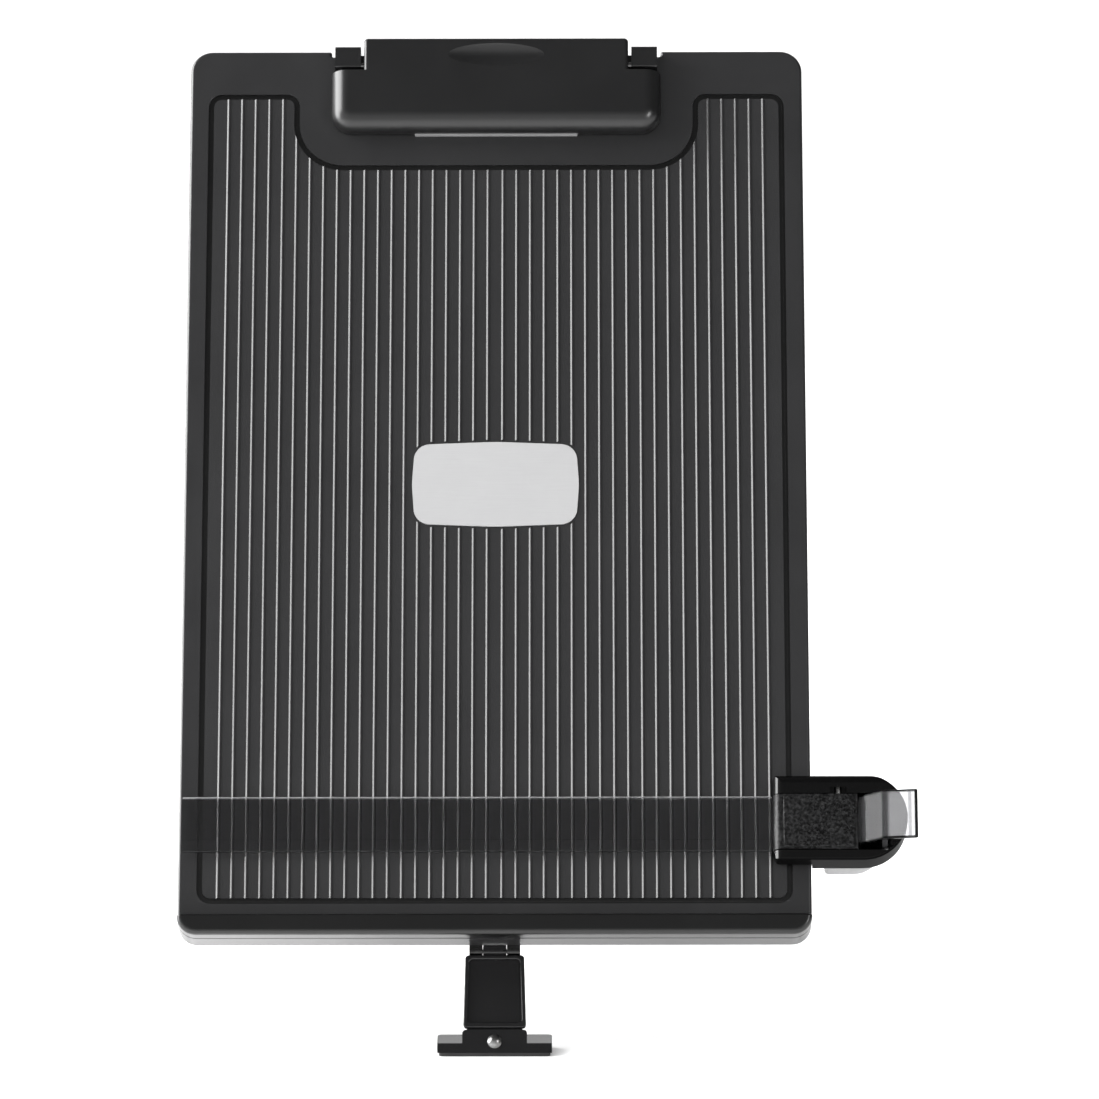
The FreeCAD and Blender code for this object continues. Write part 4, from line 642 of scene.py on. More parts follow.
@dataclass(frozen=True)
class MouldedPlastic(Finish):
    """Black moulded plastic, from piano gloss to fine grain."""

    tone: float
    tone_high: float
    rough_low: float
    rough_high: float
    grain_scale: float
    grain_depth: float
    coat: float = 0.0
    index: float = 1.5
    zone: Zone = Zone.PLAIN

    CAST: ClassVar[Colour] = (1.0, 1.0, 1.04)
    SMUDGE_SHARE: ClassVar[float] = 0.6
    COAT_ROUGH: ClassVar[float] = 0.06
    PANEL: ClassVar[Colour] = shade(0.018, 1.0, 1.0, 1.03)
    LEDGE: ClassVar[Colour] = shade(0.0015, 1.0, 1.0, 1.03)
    # Painted shade: the groove round the ribbed panel is darkened in colour.
    CHANNEL_SHADE: ClassVar[Colour] = shade(0.0008, 1.0, 1.0, 1.03)
    WALL: ClassVar[Colour] = shade(0.003, 1.0, 1.0, 1.03)
    # Speckle colour for the rocker's pebbles: real grain with painted sparkle of its facets.
    PEBBLE_SPARKLE: ClassVar[Colour] = shade(0.018, 1.0, 1.0, 1.03)
    PANEL_SPECKLE: ClassVar[tuple[float, float]] = (0.1, 0.9)
    RIM_GRAIN: ClassVar[float] = 0.35
    UNDERSIDE_COAT: ClassVar[float] = 0.26
    WALL_ROUGH: ClassVar[float] = 0.25

    def build(self) -> bpy.types.Material:
        """Build the material.

        Returns:
            The plastic, with smudges in its gloss and grain in its bump.
        """
        material, nodes, shader, place = open_material(self.slot.value)
        grain = nodes.group(SharedEffects.GRAIN, place, Scale=self.grain_scale, Fine=0.5)
        smudge = nodes.group(SharedEffects.SMUDGE, place, Scale=22.0)
        amount = nodes.weigh(smudge["Mask"], grain["Speckle"], self.SMUDGE_SHARE)
        colour = nodes.mix(shade(self.tone, *self.CAST), shade(self.tone_high, *self.CAST), amount)
        rough = nodes.between(amount, self.rough_low, self.rough_high)
        look = Look(colour, rough, grain["Height"], self.coat)
        if self.zone is Zone.BOARD:
            self.tell_board_apart(nodes, place, grain["Speckle"], look)
        elif self.zone is Zone.SLIDER:
            self.tell_slider_apart(nodes, place, look)
        elif self.zone is Zone.GRAINED:
            # Grained rocker: lighter speckles on the pebbles, partly real grain and partly painted
            # sparkle.
            pebble_sparkle = nodes.group(SharedEffects.GRAIN, place, Scale=520.0, Fine=0.6)
            look.colour = nodes.mix(look.colour, self.PEBBLE_SPARKLE, pebble_sparkle["Speckle"])
        nodes.feed(shader, {"Base Color": look.colour, "Roughness": look.rough,
                            "IOR": self.index, "Coat Weight": look.coat,
                            "Coat Roughness": self.COAT_ROUGH})
        nodes.bump(shader, look.height, self.grain_depth)
        return material

    def tell_board_apart(self, nodes: Nodes, place: Socket, speckle: Socket, look: Look) -> None:
        """Give the board's panel, ledge, channel and underside their own looks, with painted shade
        in the channel.

        Args:
            nodes: The material's tree builder.
            place: The coordinates.
            speckle: The grain's speckle.
            look: The looks so far, changed here.
        """
        areas = nodes.group(SharedEffects.PANEL, place)
        lift = nodes.product(areas["Mask"], nodes.between(speckle, *self.PANEL_SPECKLE))
        # The channel colour is painted shade that darkens the groove round the panel.
        for towards, factor in ((self.PANEL, lift), (self.LEDGE, areas["Ledge"]),
                                (self.CHANNEL_SHADE, areas["ChannelShade"])):
            look.colour = nodes.mix(look.colour, towards, factor)
        look.height = nodes.product(look.height, nodes.between(areas["Mask"], self.RIM_GRAIN, 1.0))
        look.coat = nodes.product(areas["Underside"], self.UNDERSIDE_COAT)

    def tell_slider_apart(self, nodes: Nodes, place: Socket, look: Look) -> None:
        """Make the slider glossy all over but for its satin wall.

        Args:
            nodes: The material's tree builder.
            place: The coordinates.
            look: The looks so far, changed here.
        """
        wall = nodes.group(SharedEffects.SLIDER_WALL, place)["Mask"]
        look.coat = nodes.product(nodes.math("SUBTRACT", 1.0, wall), self.coat)
        look.colour = nodes.mix(look.colour, self.WALL, wall)
        look.rough = nodes.math("ADD", look.rough, nodes.product(wall, self.WALL_ROUGH))


@dataclass(frozen=True)
class Rubber(Finish):
    """Dull black rubber with dust in its pores."""

    tone: float = 0.010
    rough_low: float = 0.62
    rough_high: float = 0.85
    grain_depth: float = 0.00004
    index: float = 1.52

    DUST: ClassVar[Colour] = (2.4, 2.4, 2.3)

    def build(self) -> bpy.types.Material:
        """Build the material.

        Returns:
            The rubber.
        """
        material, nodes, shader, place = open_material(self.slot.value)
        grain = nodes.group(SharedEffects.GRAIN, place, Scale=2600.0, Fine=0.9)
        dust = nodes.group(SharedEffects.SMUDGE, place, Scale=140.0)["Mask"]
        colour = nodes.mix(shade(self.tone, *WHITE), shade(self.tone, *self.DUST), dust)
        rough = nodes.between(dust, self.rough_low, self.rough_high)
        nodes.feed(shader, {"Base Color": colour, "Roughness": rough, "IOR": self.index})
        nodes.bump(shader, grain["Height"], self.grain_depth)
        return material


@dataclass(frozen=True)
class PalePlate(Finish):
    """Pale satin plate or strip, bare of print."""

    tone: float
    rough: float
    streak: float

    CAST: ClassVar[Colour] = (1.0, 1.0, 1.01)
    STREAK_CAST: ClassVar[Colour] = (0.93, 0.93, 0.94)
    ROUGH_SPAN: ClassVar[float] = 0.12
    TOOTH_DEPTH: ClassVar[float] = 0.000006

    def build(self) -> bpy.types.Material:
        """Build the material.

        Returns:
            The plate, with a faint brushed streak and a fine tooth.
        """
        material, nodes, shader, place = open_material(self.slot.value)
        streak = nodes.group(SharedEffects.HAIRLINE, place, Along=90.0, Across=5200.0)
        smudge = nodes.group(SharedEffects.SMUDGE, place, Scale=60.0)
        amount = nodes.weigh(streak["Mask"], smudge["Mask"], self.streak)
        plain, streaked = shade(self.tone, *self.CAST), shade(self.tone, *self.STREAK_CAST)
        colour = nodes.mix(plain, streaked, amount)
        rough = nodes.between(amount, self.rough, self.rough + self.ROUGH_SPAN)
        nodes.feed(shader, {"Base Color": colour, "Roughness": rough})
        nodes.bump(shader, amount, self.TOOTH_DEPTH)
        return material


@dataclass(frozen=True)
class ClearAcrylic(Finish):
    """Clear or smoky acrylic sheet, with a frosted band where its edge was cut, lightened in colour
    as a painted highlight.
    """

    tint: float
    rough: float
    clear: float = 1.0
    index: float = 1.49
    frost_low: float = 0.0
    frost_high: float = 0.0
    tab_shade_zones: bool = False

    CAST: ClassVar[Colour] = (1.0, 1.0, 1.02)
    WIPED_CAST: ClassVar[Colour] = (0.94, 0.94, 0.96)
    WIPED_ROUGH: ClassVar[float] = 0.05
    # Frosted edge colour, lighter than the sheet as a painted highlight along the cut edge.
    FROST_AND_HIGHLIGHT: ClassVar[Colour] = (0.82, 0.82, 0.83)
    FROST_SOFT: ClassVar[float] = 0.1 * MM
    FROST_ROUGH: ClassVar[float] = 0.55
    # Painted shade on the clear finger tab: a darker slope and bent tip, and a near-black cut rim
    # as its dark outline.
    TAB_PAINTED_SHADES: ClassVar[dict[str, Colour]] = {
        "Ramp": shade(0.15, 1.0, 1.0, 1.03),
        "Bend": shade(0.35, 1.0, 1.0, 1.03),
        "Rim": shade(0.01, 1.0, 1.0, 1.03),
    }

    def build(self) -> bpy.types.Material:
        """Build the material.

        Returns:
            The acrylic, with wiping marks in its gloss.
        """
        material, nodes, shader, place = open_material(self.slot.value)
        smudge = nodes.group(SharedEffects.SMUDGE, place, Scale=45.0)
        wipe = nodes.group(SharedEffects.HAIRLINE, place, Along=40.0, Across=1500.0)
        amount = nodes.product(smudge["Mask"], wipe["Mask"])
        colour = nodes.mix(shade(self.tint, *self.CAST), shade(self.tint, *self.WIPED_CAST), amount)
        rough = nodes.between(amount, self.rough, self.rough + self.WIPED_ROUGH)
        # Frosted band at the blade's cut top edge: rougher as real frost, and lighter in colour as
        # a painted highlight.
        if self.frost_high > self.frost_low:
            height = nodes.group(SharedEffects.BOARD_PLACE, place)["Up"]
            low = nodes.ramp(height, self.frost_low - self.FROST_SOFT, self.frost_low)
            frost_and_highlight = nodes.product(low, nodes.math("LESS_THAN", height, self.frost_high))
            colour = nodes.mix(colour, self.FROST_AND_HIGHLIGHT, frost_and_highlight)
            rough = nodes.math("ADD", rough, nodes.product(frost_and_highlight, self.FROST_ROUGH))
        # Paint shade onto the finger tab's slope, bend and cut rim.
        if self.tab_shade_zones:
            areas = nodes.group(SharedEffects.TAB_AREAS, place)
            for area, towards in self.TAB_PAINTED_SHADES.items():
                colour = nodes.mix(colour, towards, areas[area])
        nodes.feed(shader, {"Base Color": colour, "Roughness": rough, "IOR": self.index,
                            "Transmission Weight": self.clear})
        return material


@dataclass(frozen=True)
class PlainSteel(Finish):
    """Drawn or pressed steel with fine streaks."""

    tone: float
    rough_low: float = 0.24
    rough_high: float = 0.44
    streak_depth: float = 0.000004

    DULLED: ClassVar[Colour] = (0.55, 0.54, 0.52)

    def build(self) -> bpy.types.Material:
        """Build the material.

        Returns:
            The steel.
        """
        material, nodes, shader, place = open_material(self.slot.value)
        streak = nodes.group(SharedEffects.HAIRLINE, place, Along=250.0, Across=6500.0)
        smudge = nodes.group(SharedEffects.SMUDGE, place, Scale=220.0)
        bright, dull = shade(self.tone, *WHITE), shade(self.tone, *self.DULLED)
        nodes.feed(shader, {
            "Base Color": nodes.mix(bright, dull, smudge["Mask"]),
            "Roughness": nodes.between(streak["Mask"], self.rough_low, self.rough_high),
            "Metallic": 1.0,
        })
        nodes.bump(shader, streak["Mask"], self.streak_depth)
        return material


FINISHES: tuple[Finish, ...] = (
    MouldedPlastic(Slot.BOARD, tone=0.0125, tone_high=0.0155, rough_low=0.28, rough_high=0.36,
                   grain_scale=2400.0, grain_depth=0.00003, zone=Zone.BOARD),
    MouldedPlastic(Slot.CLIP, tone=0.0055, tone_high=0.007, rough_low=0.28, rough_high=0.34,
                   grain_scale=2600.0, grain_depth=0.000006),
    MouldedPlastic(Slot.SLIDER, tone=0.001, tone_high=0.002, rough_low=0.12, rough_high=0.18,
                   grain_scale=900.0, grain_depth=0.000002, coat=0.65, index=1.06,
                   zone=Zone.SLIDER),
    PalePlate(Slot.JAW, tone=0.27, rough=0.38, streak=0.15),
    MouldedPlastic(Slot.ROCKER, tone=0.001, tone_high=0.003, rough_low=0.26, rough_high=0.42,
                   grain_scale=1600.0, grain_depth=0.00005, index=1.32, zone=Zone.GRAINED),
    MouldedPlastic(Slot.LEG, tone=0.006, tone_high=0.009, rough_low=0.16, rough_high=0.24,
                   grain_scale=1400.0, grain_depth=0.000004, index=1.38),
    MouldedPlastic(Slot.PROP, tone=0.008, tone_high=0.012, rough_low=0.32, rough_high=0.44,
                   grain_scale=2200.0, grain_depth=0.00002),
    Rubber(Slot.RUBBER),
    PalePlate(Slot.GRIP, tone=0.22, rough=0.5, streak=0.3),
    PalePlate(Slot.LABEL, tone=0.33, rough=0.34, streak=0.55),
    ClearAcrylic(Slot.BLADE, tint=0.59, rough=0.02, frost_low=50.7 * MM, frost_high=51.2 * MM),
    ClearAcrylic(Slot.TAB, tint=0.6, rough=0.08, clear=0.8, index=1.16, tab_shade_zones=True),
    PlainSteel(Slot.DARK_STEEL, tone=0.045),
    PlainSteel(Slot.STEEL, tone=0.26),
)


class Wardrobe:
    """Every finish's material, by slot."""

    def __init__(self, finishes: Iterable[Finish]) -> None:
        """Build the materials.

        Args:
            finishes: The finishes to build.
        """
        self.materials = {finish.slot: finish.build() for finish in finishes}

    def dress(self, obj: bpy.types.Object, slot: Slot) -> None:
        """Give an object one finish all over.

        Args:
            obj: The object.
            slot: The finish's slot.
        """
        if not obj.material_slots:
            obj.data.materials.append(self.materials[slot])
        for material_slot in obj.material_slots:
            material_slot.material = self.materials[slot]

    def dress_nodes(self, nodes: Iterable[str], record: dict) -> None:
        """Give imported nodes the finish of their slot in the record.

        Args:
            nodes: Names of the nodes.
            record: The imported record.
        """
        slots = {row["node"]: Slot(row["material_slot"]) for row in record["subparts"]}
        for node in nodes:
            self.dress(frame["nodes"][node], slots[node])


@dataclass
class Coil:
    """A close coil of round wire with two straight arms."""

    radius: float
    wire: float
    length: float
    turns: int
    arm: float
    sides: int = 12
    steps: int = 32

    def build(self, name: str) -> bpy.types.Object:
        """Model the coil along z from the origin.

        Args:
            name: The object's name.

        Returns:
            The coil, closed at both ends.
        """
        Bench.clear()
        bpy.ops.mesh.primitive_circle_add(vertices=self.sides, radius=self.wire / 2,
                                          fill_type="NOTHING", rotation=(math.pi / 2, 0, 0),
                                          location=(self.radius, 0, self.wire / 2))
        coil = bpy.context.object
        coil.name = name
        Bench.settle()
        turns = coil.modifiers.new("Turns", "SCREW")
        turns.axis = "Z"
        turns.angle = 2 * math.pi
        turns.screw_offset = (self.length - self.wire) / self.turns
        turns.iterations = self.turns
        turns.steps = self.steps
        turns.render_steps = self.steps
        Bench.apply_modifiers(coil)
        Bench.edit(coil, "EDGE")
        middle = self.length / 2
        for low, way in ((True, -1.0), (False, 1.0)):
            Bench.pick(coil, "edges",
                       lambda edge: edge.is_boundary and (edge.verts[0].co.z < middle) == low)
            if self.arm > 0:
                Bench.extrude((0.0, way * self.arm, 0.0))
            bpy.ops.mesh.edge_face_add()
        Bench.close(coil)
        Bench.smooth(coil)
        return coil


@dataclass
class ClipSprings:
    """The two torsion springs round the clip's pin."""

    radius: float = 2.05 * MM
    wire: float = 0.64 * MM
    length: float = 6.3 * MM
    turns: int = 8
    arm: float = 3.4 * MM
    apart: float = 33.0 * MM
    pin_v: float = 329.0 * MM
    pin_w: float = 4.2 * MM

    def build(self, wardrobe: Wardrobe) -> bpy.types.Object:
        """Model both springs as one piece on the board.

        Args:
            wardrobe: Where the finish comes from.

        Returns:
            The piece.
        """
        coil = Coil(self.radius, self.wire, self.length, self.turns, self.arm)
        first = coil.build("clip_spring_coils")
        second = Bench.copy(first, "clip_spring_twin")
        turn = Matrix(((0, 0, 1), (0, 1, 0), (-1, 0, 0))).to_4x4()
        for spring, side in ((first, -1), (second, 1)):
            start = side * self.apart - self.length / 2
            place = Matrix.Translation((start, self.pin_v, self.pin_w))
            Bench.bake(spring, board_matrix() @ place @ turn)
        piece = Bench.join([first, second], "clip_spring_coils")
        wardrobe.dress(piece, Slot.STEEL)
        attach(piece, Body.BOARD.value)
        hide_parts("clip_springs")
        return piece


@dataclass
class RockerSpring:
    """The small coil under the rocking block."""

    radius: float = 1.6 * MM
    wire: float = 0.48 * MM
    turns: int = 5
    x: float = 125.9 * MM
    v: float = 40.5 * MM
    low_w: float = -3.5 * MM
    high_w: float = 0.42 * MM

    def build(self, wardrobe: Wardrobe) -> bpy.types.Object:
        """Model the spring on the slider.

        Args:
            wardrobe: Where the finish comes from.

        Returns:
            The piece.
        """
        coil = Coil(self.radius, self.wire, self.high_w - self.low_w, self.turns, arm=0.0)
        piece = coil.build("rocker_spring_coil")
        Bench.bake(piece, board_matrix() @ Matrix.Translation((self.x, self.v, self.low_w)))
        wardrobe.dress(piece, Slot.STEEL)
        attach(piece, Body.SLIDER.value)
        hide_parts("rocker_spring")
        return piece


@dataclass
class CrossHeadScrew:
    """A screw with a round-edged head, a cross recess and a threaded shank."""

    head_radius: float = 2.1 * MM
    head_height: float = 1.2 * MM
    shank_radius: float = 1.1 * MM
    recess_reach: float = 1.15 * MM
    recess_width: float = 0.5 * MM
    recess_depth: float = 0.75 * MM
    thread_pitch: float = 0.7 * MM
    sides: int = 32
    round_share: float = 0.55
    round_segments: int = 4
    root_ratio: float = 0.84
    tip_ratio: float = 0.7
    recess_taper: float = 0.6

    def build(self, shank: float) -> bpy.types.Object:
        """Model one screw along z, its head's seat at z = 0 and its shank below.

        Args:
            shank: Length of the shank.

        Returns:
            The screw.
        """
        Bench.clear()
        bpy.ops.mesh.primitive_cylinder_add(vertices=self.sides, radius=self.head_radius,
                                            depth=self.head_height,
                                            location=(0, 0, self.head_height / 2))
        screw = bpy.context.object
        Bench.settle()
        Bench.edit(screw, "EDGE")
        top = self.head_height - WELD
        Bench.pick(screw, "edges", lambda edge: min(vert.co.z for vert in edge.verts) > top)
        bpy.ops.mesh.bevel(offset=self.head_height * self.round_share, segments=self.round_segments,
                           affect="EDGES")
        bpy.ops.mesh.select_all(action="DESELECT")
        bpy.ops.mesh.select_mode(type="FACE")
        Bench.pick(screw, "faces", lambda face: face.normal.z < -FACING)
        bpy.ops.mesh.inset(thickness=self.head_radius - self.shank_radius, depth=0)
        rings = max(2, round(shank / self.thread_pitch))
        step = shank / rings
        ratios = [self.root_ratio, 1.0 / self.root_ratio] * rings
        ratios[-1] = self.tip_ratio
        for grow in ratios:
            Bench.extrude((0, 0, -step / 2))
            bpy.ops.transform.resize(value=(grow, grow, 1.0), center_override=(0, 0, 0))
        Bench.close(screw)
        self.cut_recess(screw)
        Bench.smooth(screw)
        return screw

    def cut_recess(self, screw: bpy.types.Object) -> None:
        """Sink the cross into the head.

        Args:
            screw: The screw.
        """
        half = self.recess_width / 2
        Bench.clear()
        bpy.ops.mesh.primitive_cube_add(size=self.recess_width, location=(0, 0, 0))
        cutter = bpy.context.object
        Bench.edit(cutter, "FACE")
        for axis in (0, 1):
            for way in (-1, 1):
                Bench.pick(cutter, "faces", lambda face: face.normal[axis] * way > FACING
                           and abs(face.calc_center_median()[1 - axis]) < half)
                move = [0.0, 0.0, 0.0]
                move[axis] = way * (self.recess_reach - half)
                Bench.extrude(tuple(move))
        Bench.pick(cutter, "faces", lambda face: face.normal.z < -FACING)
        taper = self.recess_taper
        bpy.ops.transform.resize(value=(taper, taper, 1.0), center_override=(0, 0, 0))
        Bench.close(cutter)
        stretch = 2 * self.recess_depth / self.recess_width
        place = Matrix.Translation((0, 0, self.head_height)) @ Matrix.Diagonal((1, 1, stretch, 1))
        Bench.bake(cutter, place)
        cut = screw.modifiers.new("Recess", "BOOLEAN")
        cut.operation = "DIFFERENCE"
        cut.solver = "EXACT"
        cut.object = cutter
        Bench.apply_modifiers(screw)
        bpy.data.objects.remove(cutter, do_unlink=True)


@dataclass
class ScrewSet:
    """Equal screws put in from behind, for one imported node; places are (x, v) in millimetres."""

    node: str
    body: Body
    places: tuple[tuple[float, float], ...]
    seat_w: float
    tip_w: float

    FIRST_TURN: ClassVar[float] = 0.35
    NEXT_TURN: ClassVar[float] = 1.3

    def build(self, wardrobe: Wardrobe) -> bpy.types.Object:
        """Model one screw and copy it to every place.

        Args:
            wardrobe: Where the finish comes from.

        Returns:
            The joined screws.
        """
        first = CrossHeadScrew().build((self.tip_w - self.seat_w) * MM)
        turn = Matrix(((1, 0, 0), (0, -1, 0), (0, 0, -1))).to_4x4()
        copies = [first] + [Bench.copy(first, f"{self.node}_copy") for _ in self.places[1:]]
        for index, (copy, (x, v)) in enumerate(zip(copies, self.places)):
            spin = Matrix.Rotation(self.FIRST_TURN + self.NEXT_TURN * index, 4, "Z")
            place = Matrix.Translation(Vector((x, v, self.seat_w)) * MM)
            Bench.bake(copy, board_matrix() @ place @ turn @ spin)
        piece = Bench.join(copies, f"{self.node}_detailed")
        wardrobe.dress(piece, Slot.STEEL)
        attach(piece, self.body.value)
        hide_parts(self.node)
        return piece


@dataclass
class GripField:
    """Grained skin on top of the rocking block."""

    x_low: float = 102.1 * MM
    x_high: float = 126.9 * MM
    v_low: float = 31.25 * MM
    v_high: float = 49.75 * MM
    face_w: float = 7.352 * MM
    skirt: float = 0.08 * MM
    grain: float = 1.5 * MM
    depth: float = 0.32 * MM
    cell_share: float = 0.6
    cloud_share: float = 0.4
    cloud_ratio: float = 0.45
    rim_share: float = 0.6
    across: int = 170
    up: int = 128

    def build(self, wardrobe: Wardrobe) -> bpy.types.Object:
        """Model a fine grid, raise its grain and close it underneath.

        Args:
            wardrobe: Where the finish comes from.

        Returns:
            The piece.
        """
        Bench.clear()
        wide, high = self.x_high - self.x_low, self.v_high - self.v_low
        bpy.ops.mesh.primitive_grid_add(x_subdivisions=self.across, y_subdivisions=self.up,
                                        size=1.0, location=(wide / 2, high / 2, self.skirt))
        field = bpy.context.object
        field.name = "grip_field"
        field.scale = (wide, high, 1.0)
        Bench.settle()
        margin = self.rim_share * wide / self.across
        inner = field.vertex_groups.new(name="inner")
        rows = [vert.index for vert in field.data.vertices
                if margin < vert.co.x < wide - margin and margin < vert.co.y < high - margin]
        inner.add(rows, 1.0, "REPLACE")
        Bench.edit(field, "EDGE")
        Bench.pick(field, "edges", lambda edge: edge.is_boundary)
        Bench.extrude((0, 0, -self.skirt))
        bpy.ops.mesh.edge_face_add()
        Bench.close(field)
        cells = bpy.data.textures.new("grip_cells", "VORONOI")
        cells.noise_scale = self.grain
        cells.distance_metric = "DISTANCE_SQUARED"
        clouds = bpy.data.textures.new("grip_clouds", "CLOUDS")
        clouds.noise_scale = self.grain * self.cloud_ratio
        clouds.noise_depth = 2
        for texture, amount in ((cells, self.cell_share), (clouds, self.cloud_share)):
            raised = field.modifiers.new(texture.name, "DISPLACE")
            raised.texture = texture
            raised.texture_coords = "LOCAL"
            raised.direction = "Z"
            raised.strength = self.depth * amount
            raised.mid_level = 0.0
            raised.vertex_group = "inner"
        Bench.apply_modifiers(field)
        place = Matrix.Translation((self.x_low, self.v_low, self.face_w))
        Bench.bake(field, board_matrix() @ place)
        Bench.smooth(field)
        wardrobe.dress(field, Slot.ROCKER)
        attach(field, Body.LINE_GUIDE.value)
        return field


@dataclass
class SubAssembly:
    """One body of the part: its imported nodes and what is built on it."""

    nodes: tuple[str, ...]
    additions: tuple[object, ...] = ()

    def build(self, wardrobe: Wardrobe, record: dict) -> None:
        """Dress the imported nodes, then build and log the new pieces.

        Args:
            wardrobe: Where the finishes come from.
            record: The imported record.
        """
        wardrobe.dress_nodes(self.nodes, record)
        LOG.info("%s: %d packed nodes dressed", type(self).__name__, len(self.nodes))
        for addition in self.additions:
            piece = addition.build(wardrobe)
            LOG.info("  %s: %d faces", piece.name, len(piece.data.polygons))


@dataclass
class Board(SubAssembly):
    """The ribbed board with its ledge, label and the fixed parts on its back."""

    nodes: tuple[str, ...] = (
        "board_panel", "paper_ledge", "label_plate", "ledge_screws", "leg_hinge_leaf",
        "leg_hinge_pin", "leg_hinge_screws", "prop_bracket", "prop_pin", "prop_bracket_screws",
    )
    additions: tuple[object, ...] = (
        ScrewSet("ledge_screws", Body.BOARD, ((-70.0, 4.6), (70.0, 4.6)), seat_w=-5.0, tip_w=4.0),
        ScrewSet("leg_hinge_screws", Body.BOARD, ((-5.6, 10.8), (5.6, 10.8)),
                 seat_w=-11.0, tip_w=-4.5),
        ScrewSet("prop_bracket_screws", Body.BOARD,
                 ((-40.2, 244.0), (40.2, 244.0), (-40.2, 256.0), (40.2, 256.0)),
                 seat_w=-12.4, tip_w=-4.5),
    )


@dataclass
class Clip(SubAssembly):
    """The clip with its base, pin, springs and grip strip."""

    nodes: tuple[str, ...] = (
        "clip_base", "clip_pin", "clip_springs", "clip_screws", "clip_lever", "clip_grip_strip",
    )
    additions: tuple[object, ...] = (
        ClipSprings(),
        ScrewSet("clip_screws", Body.BOARD, ((-38.0, 313.0), (38.0, 313.0)),
                 seat_w=-5.0, tip_w=3.4),
    )


@dataclass
class LineGuide(SubAssembly):
    """The slider with its jaw and the rocking block that carries blade and finger tab."""

    nodes: tuple[str, ...] = (
        "slider_body", "slider_back_jaw", "slider_friction_pad", "slider_screws", "rocker_pin",
        "rocker_spring", "rocker_block", "line_guide_blade", "finger_tab",
    )
    additions: tuple[object, ...] = (
        GripField(),
        RockerSpring(),
        ScrewSet("slider_screws", Body.SLIDER, ((120.0, 55.3), (134.2, 34.2), (134.2, 50.3)),
                 seat_w=-12.1, tip_w=0.8),
    )


@dataclass
class FrontLeg(SubAssembly):
    """The short front leg and its foot."""

    nodes: tuple[str, ...] = ("front_leg", "foot", "foot_rivet", "foot_pad")


@dataclass
class RearProp(SubAssembly):
    """The forked prop behind the board and its feet."""

    nodes: tuple[str, ...] = ("rear_prop", "prop_feet")


@dataclass(frozen=True)
class SoftBox:
    """One soft box lamp."""

    name: str
    place: tuple[float, float, float]
    width: float
    height: float
    power: float

    def hang(self, target: Vector) -> None:
        """Hang the lamp at its place.

        Args:
            target: The point that it faces.
        """
        data = bpy.data.lights.new(self.name, "AREA")
        data.shape = "RECTANGLE"
        data.size = self.width
        data.size_y = self.height
        data.energy = self.power
        lamp = bpy.data.objects.new(self.name, data)
        lamp.location = self.place
        lamp.rotation_euler = (target - Vector(self.place)).to_track_quat("-Z", "Y").to_euler()
        bpy.context.scene.collection.objects.link(lamp)


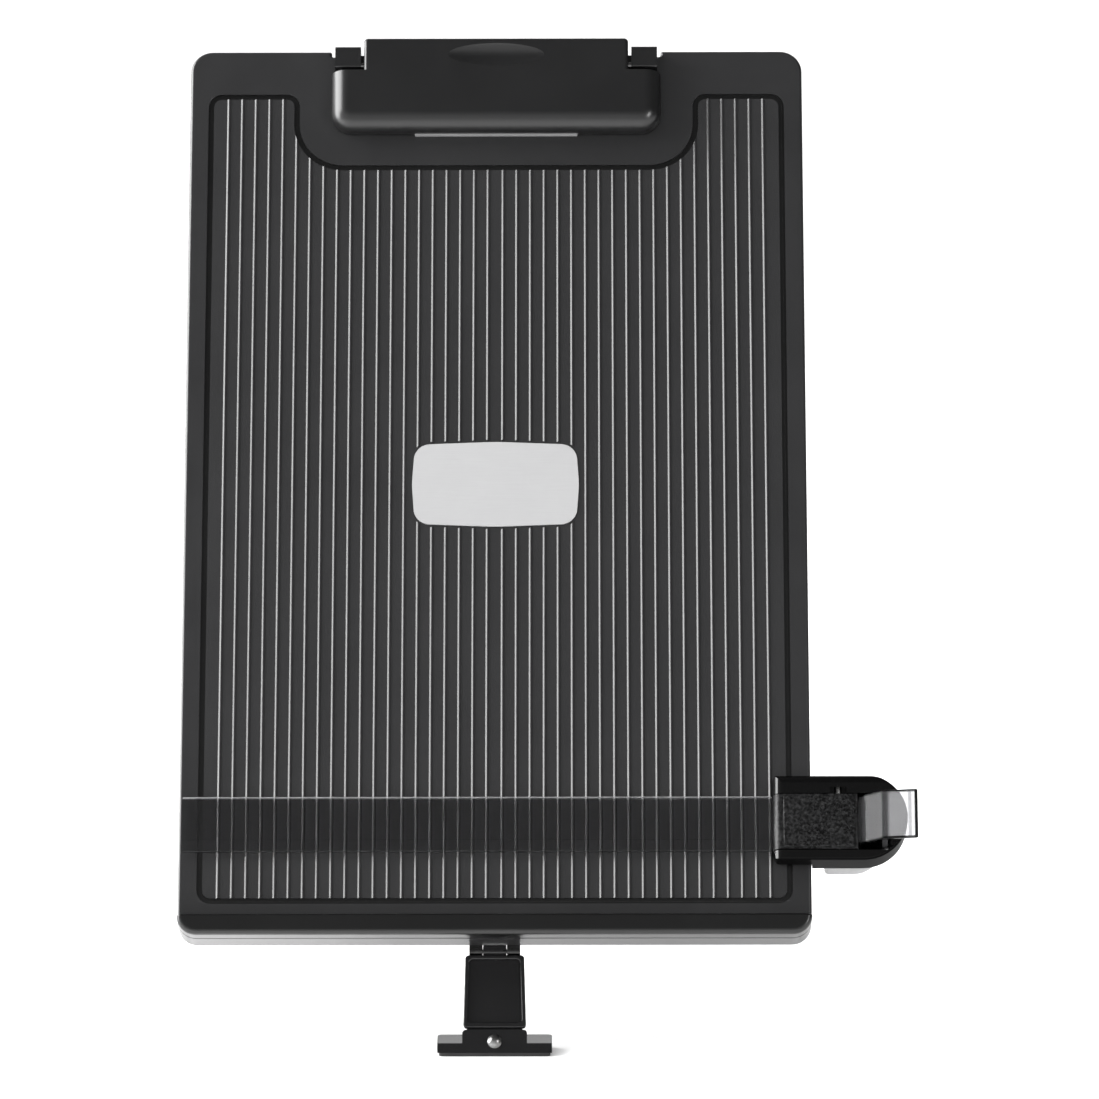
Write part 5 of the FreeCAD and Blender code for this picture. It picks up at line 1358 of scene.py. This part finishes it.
@dataclass
class Studio:
    """Floor, lights, surroundings and camera; powers are watts and turns are degrees."""

    floor_half: float = 14.0
    floor_tone: float = 0.93
    floor_patch: Colour = (0.98, 0.98, 0.98)
    floor_patch_scale: float = 3.0
    floor_rough: float = 0.9
    lens: float = 229.3
    sensor: float = 36.0
    sight: float = 100.0
    camera_place: tuple[float, float, float] = (0.027104, -2.403612, 0.594462)
    camera_turn: tuple[float, float, float] = (80.214028, 0.109566, 0.158686)
    sky_low: float = 0.3
    sky_high: float = 0.75
    sky_bright: float = 1.1
    sky_dim: float = 0.12
    right_start: float = 0.15
    right_end: float = 0.6
    right_dim: float = 0.12
    target: tuple[float, float, float] = (0.0, 0.08, 0.2)
    boxes: tuple[SoftBox, ...] = (
        SoftBox("left_soft_box", (-1.2, 0.15, 0.7), 1.25, 1.3, 70.5),
        SoftBox("right_box", (1.15, -1.15, 0.7), 0.4, 0.5, 10.0),
    )
    overhead: float = 3.3
    overhead_spread: float = 70.0
    overhead_turn: tuple[float, float, float] = (-8.0, -6.0, 0.0)

    def build(self) -> None:
        """Build the whole studio."""
        self.add_camera()
        self.add_floor()
        self.add_world()
        self.add_lights()
        bpy.context.scene.view_settings.view_transform = "Standard"

    def add_camera(self) -> None:
        """Stand the camera where the photograph was taken from."""
        data = bpy.data.cameras.new("camera")
        data.lens = self.lens
        data.sensor_width = self.sensor
        data.clip_end = self.sight
        camera = bpy.data.objects.new("camera", data)
        camera.location = self.camera_place
        camera.rotation_euler = tuple(math.radians(angle) for angle in self.camera_turn)
        bpy.context.scene.collection.objects.link(camera)
        bpy.context.scene.camera = camera

    def add_floor(self) -> None:
        """Lay a plain pale floor."""
        Bench.clear()
        bpy.ops.mesh.primitive_plane_add(size=2 * self.floor_half, location=(0, 0, 0))
        floor = bpy.context.object
        floor.name = "floor"
        material, nodes, shader, place = open_material("floor")
        patches = nodes.add("ShaderNodeTexNoise",
                            {"Vector": place, "Scale": self.floor_patch_scale})
        plain, patch = shade(self.floor_tone, *WHITE), shade(self.floor_tone, *self.floor_patch)
        colour = nodes.mix(plain, patch, patches.outputs["Fac"])
        nodes.feed(shader, {"Base Color": colour, "Roughness": self.floor_rough})
        floor.data.materials.append(material)

    def add_world(self) -> None:
        """Light the surroundings brightly near the horizon and dimly overhead and on the right."""
        world = bpy.data.worlds.new("surroundings")
        world.use_nodes = True
        bpy.context.scene.world = world
        nodes = Nodes(world.node_tree)
        way = nodes.add("ShaderNodeTexCoord").outputs["Generated"]
        parts = nodes.add("ShaderNodeSeparateXYZ", {"Vector": way}).outputs
        height = nodes.ramp(parts["Z"], self.sky_low, self.sky_high, self.sky_bright, self.sky_dim)
        side = nodes.ramp(parts["X"], self.right_start, self.right_end, 1.0, self.right_dim)
        background = nodes.add("ShaderNodeBackground", {"Color": (*WHITE, 1.0),
                                                        "Strength": nodes.product(height, side)})
        nodes.add("ShaderNodeOutputWorld", {"Surface": background.outputs["Background"]})

    def add_lights(self) -> None:
        """Hang the soft boxes and a broad lamp overhead that leaves no gleam."""
        for box in self.boxes:
            box.hang(Vector(self.target))
        data = bpy.data.lights.new("overhead", "SUN")
        data.energy = self.overhead
        data.angle = math.radians(self.overhead_spread)
        lamp = bpy.data.objects.new("overhead", data)
        lamp.rotation_euler = tuple(math.radians(angle) for angle in self.overhead_turn)
        lamp.visible_glossy = False
        bpy.context.scene.collection.objects.link(lamp)


def main() -> None:
    """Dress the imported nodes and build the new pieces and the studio."""
    logging.basicConfig(level=logging.INFO, format="%(message)s")
    Studio().build()
    SharedEffects.build()
    wardrobe = Wardrobe(FINISHES)
    for assembly in (Board(), Clip(), LineGuide(), FrontLeg(), RearProp()):
        assembly.build(wardrobe, frame["record"])


if __name__ == "__main__":
    main()
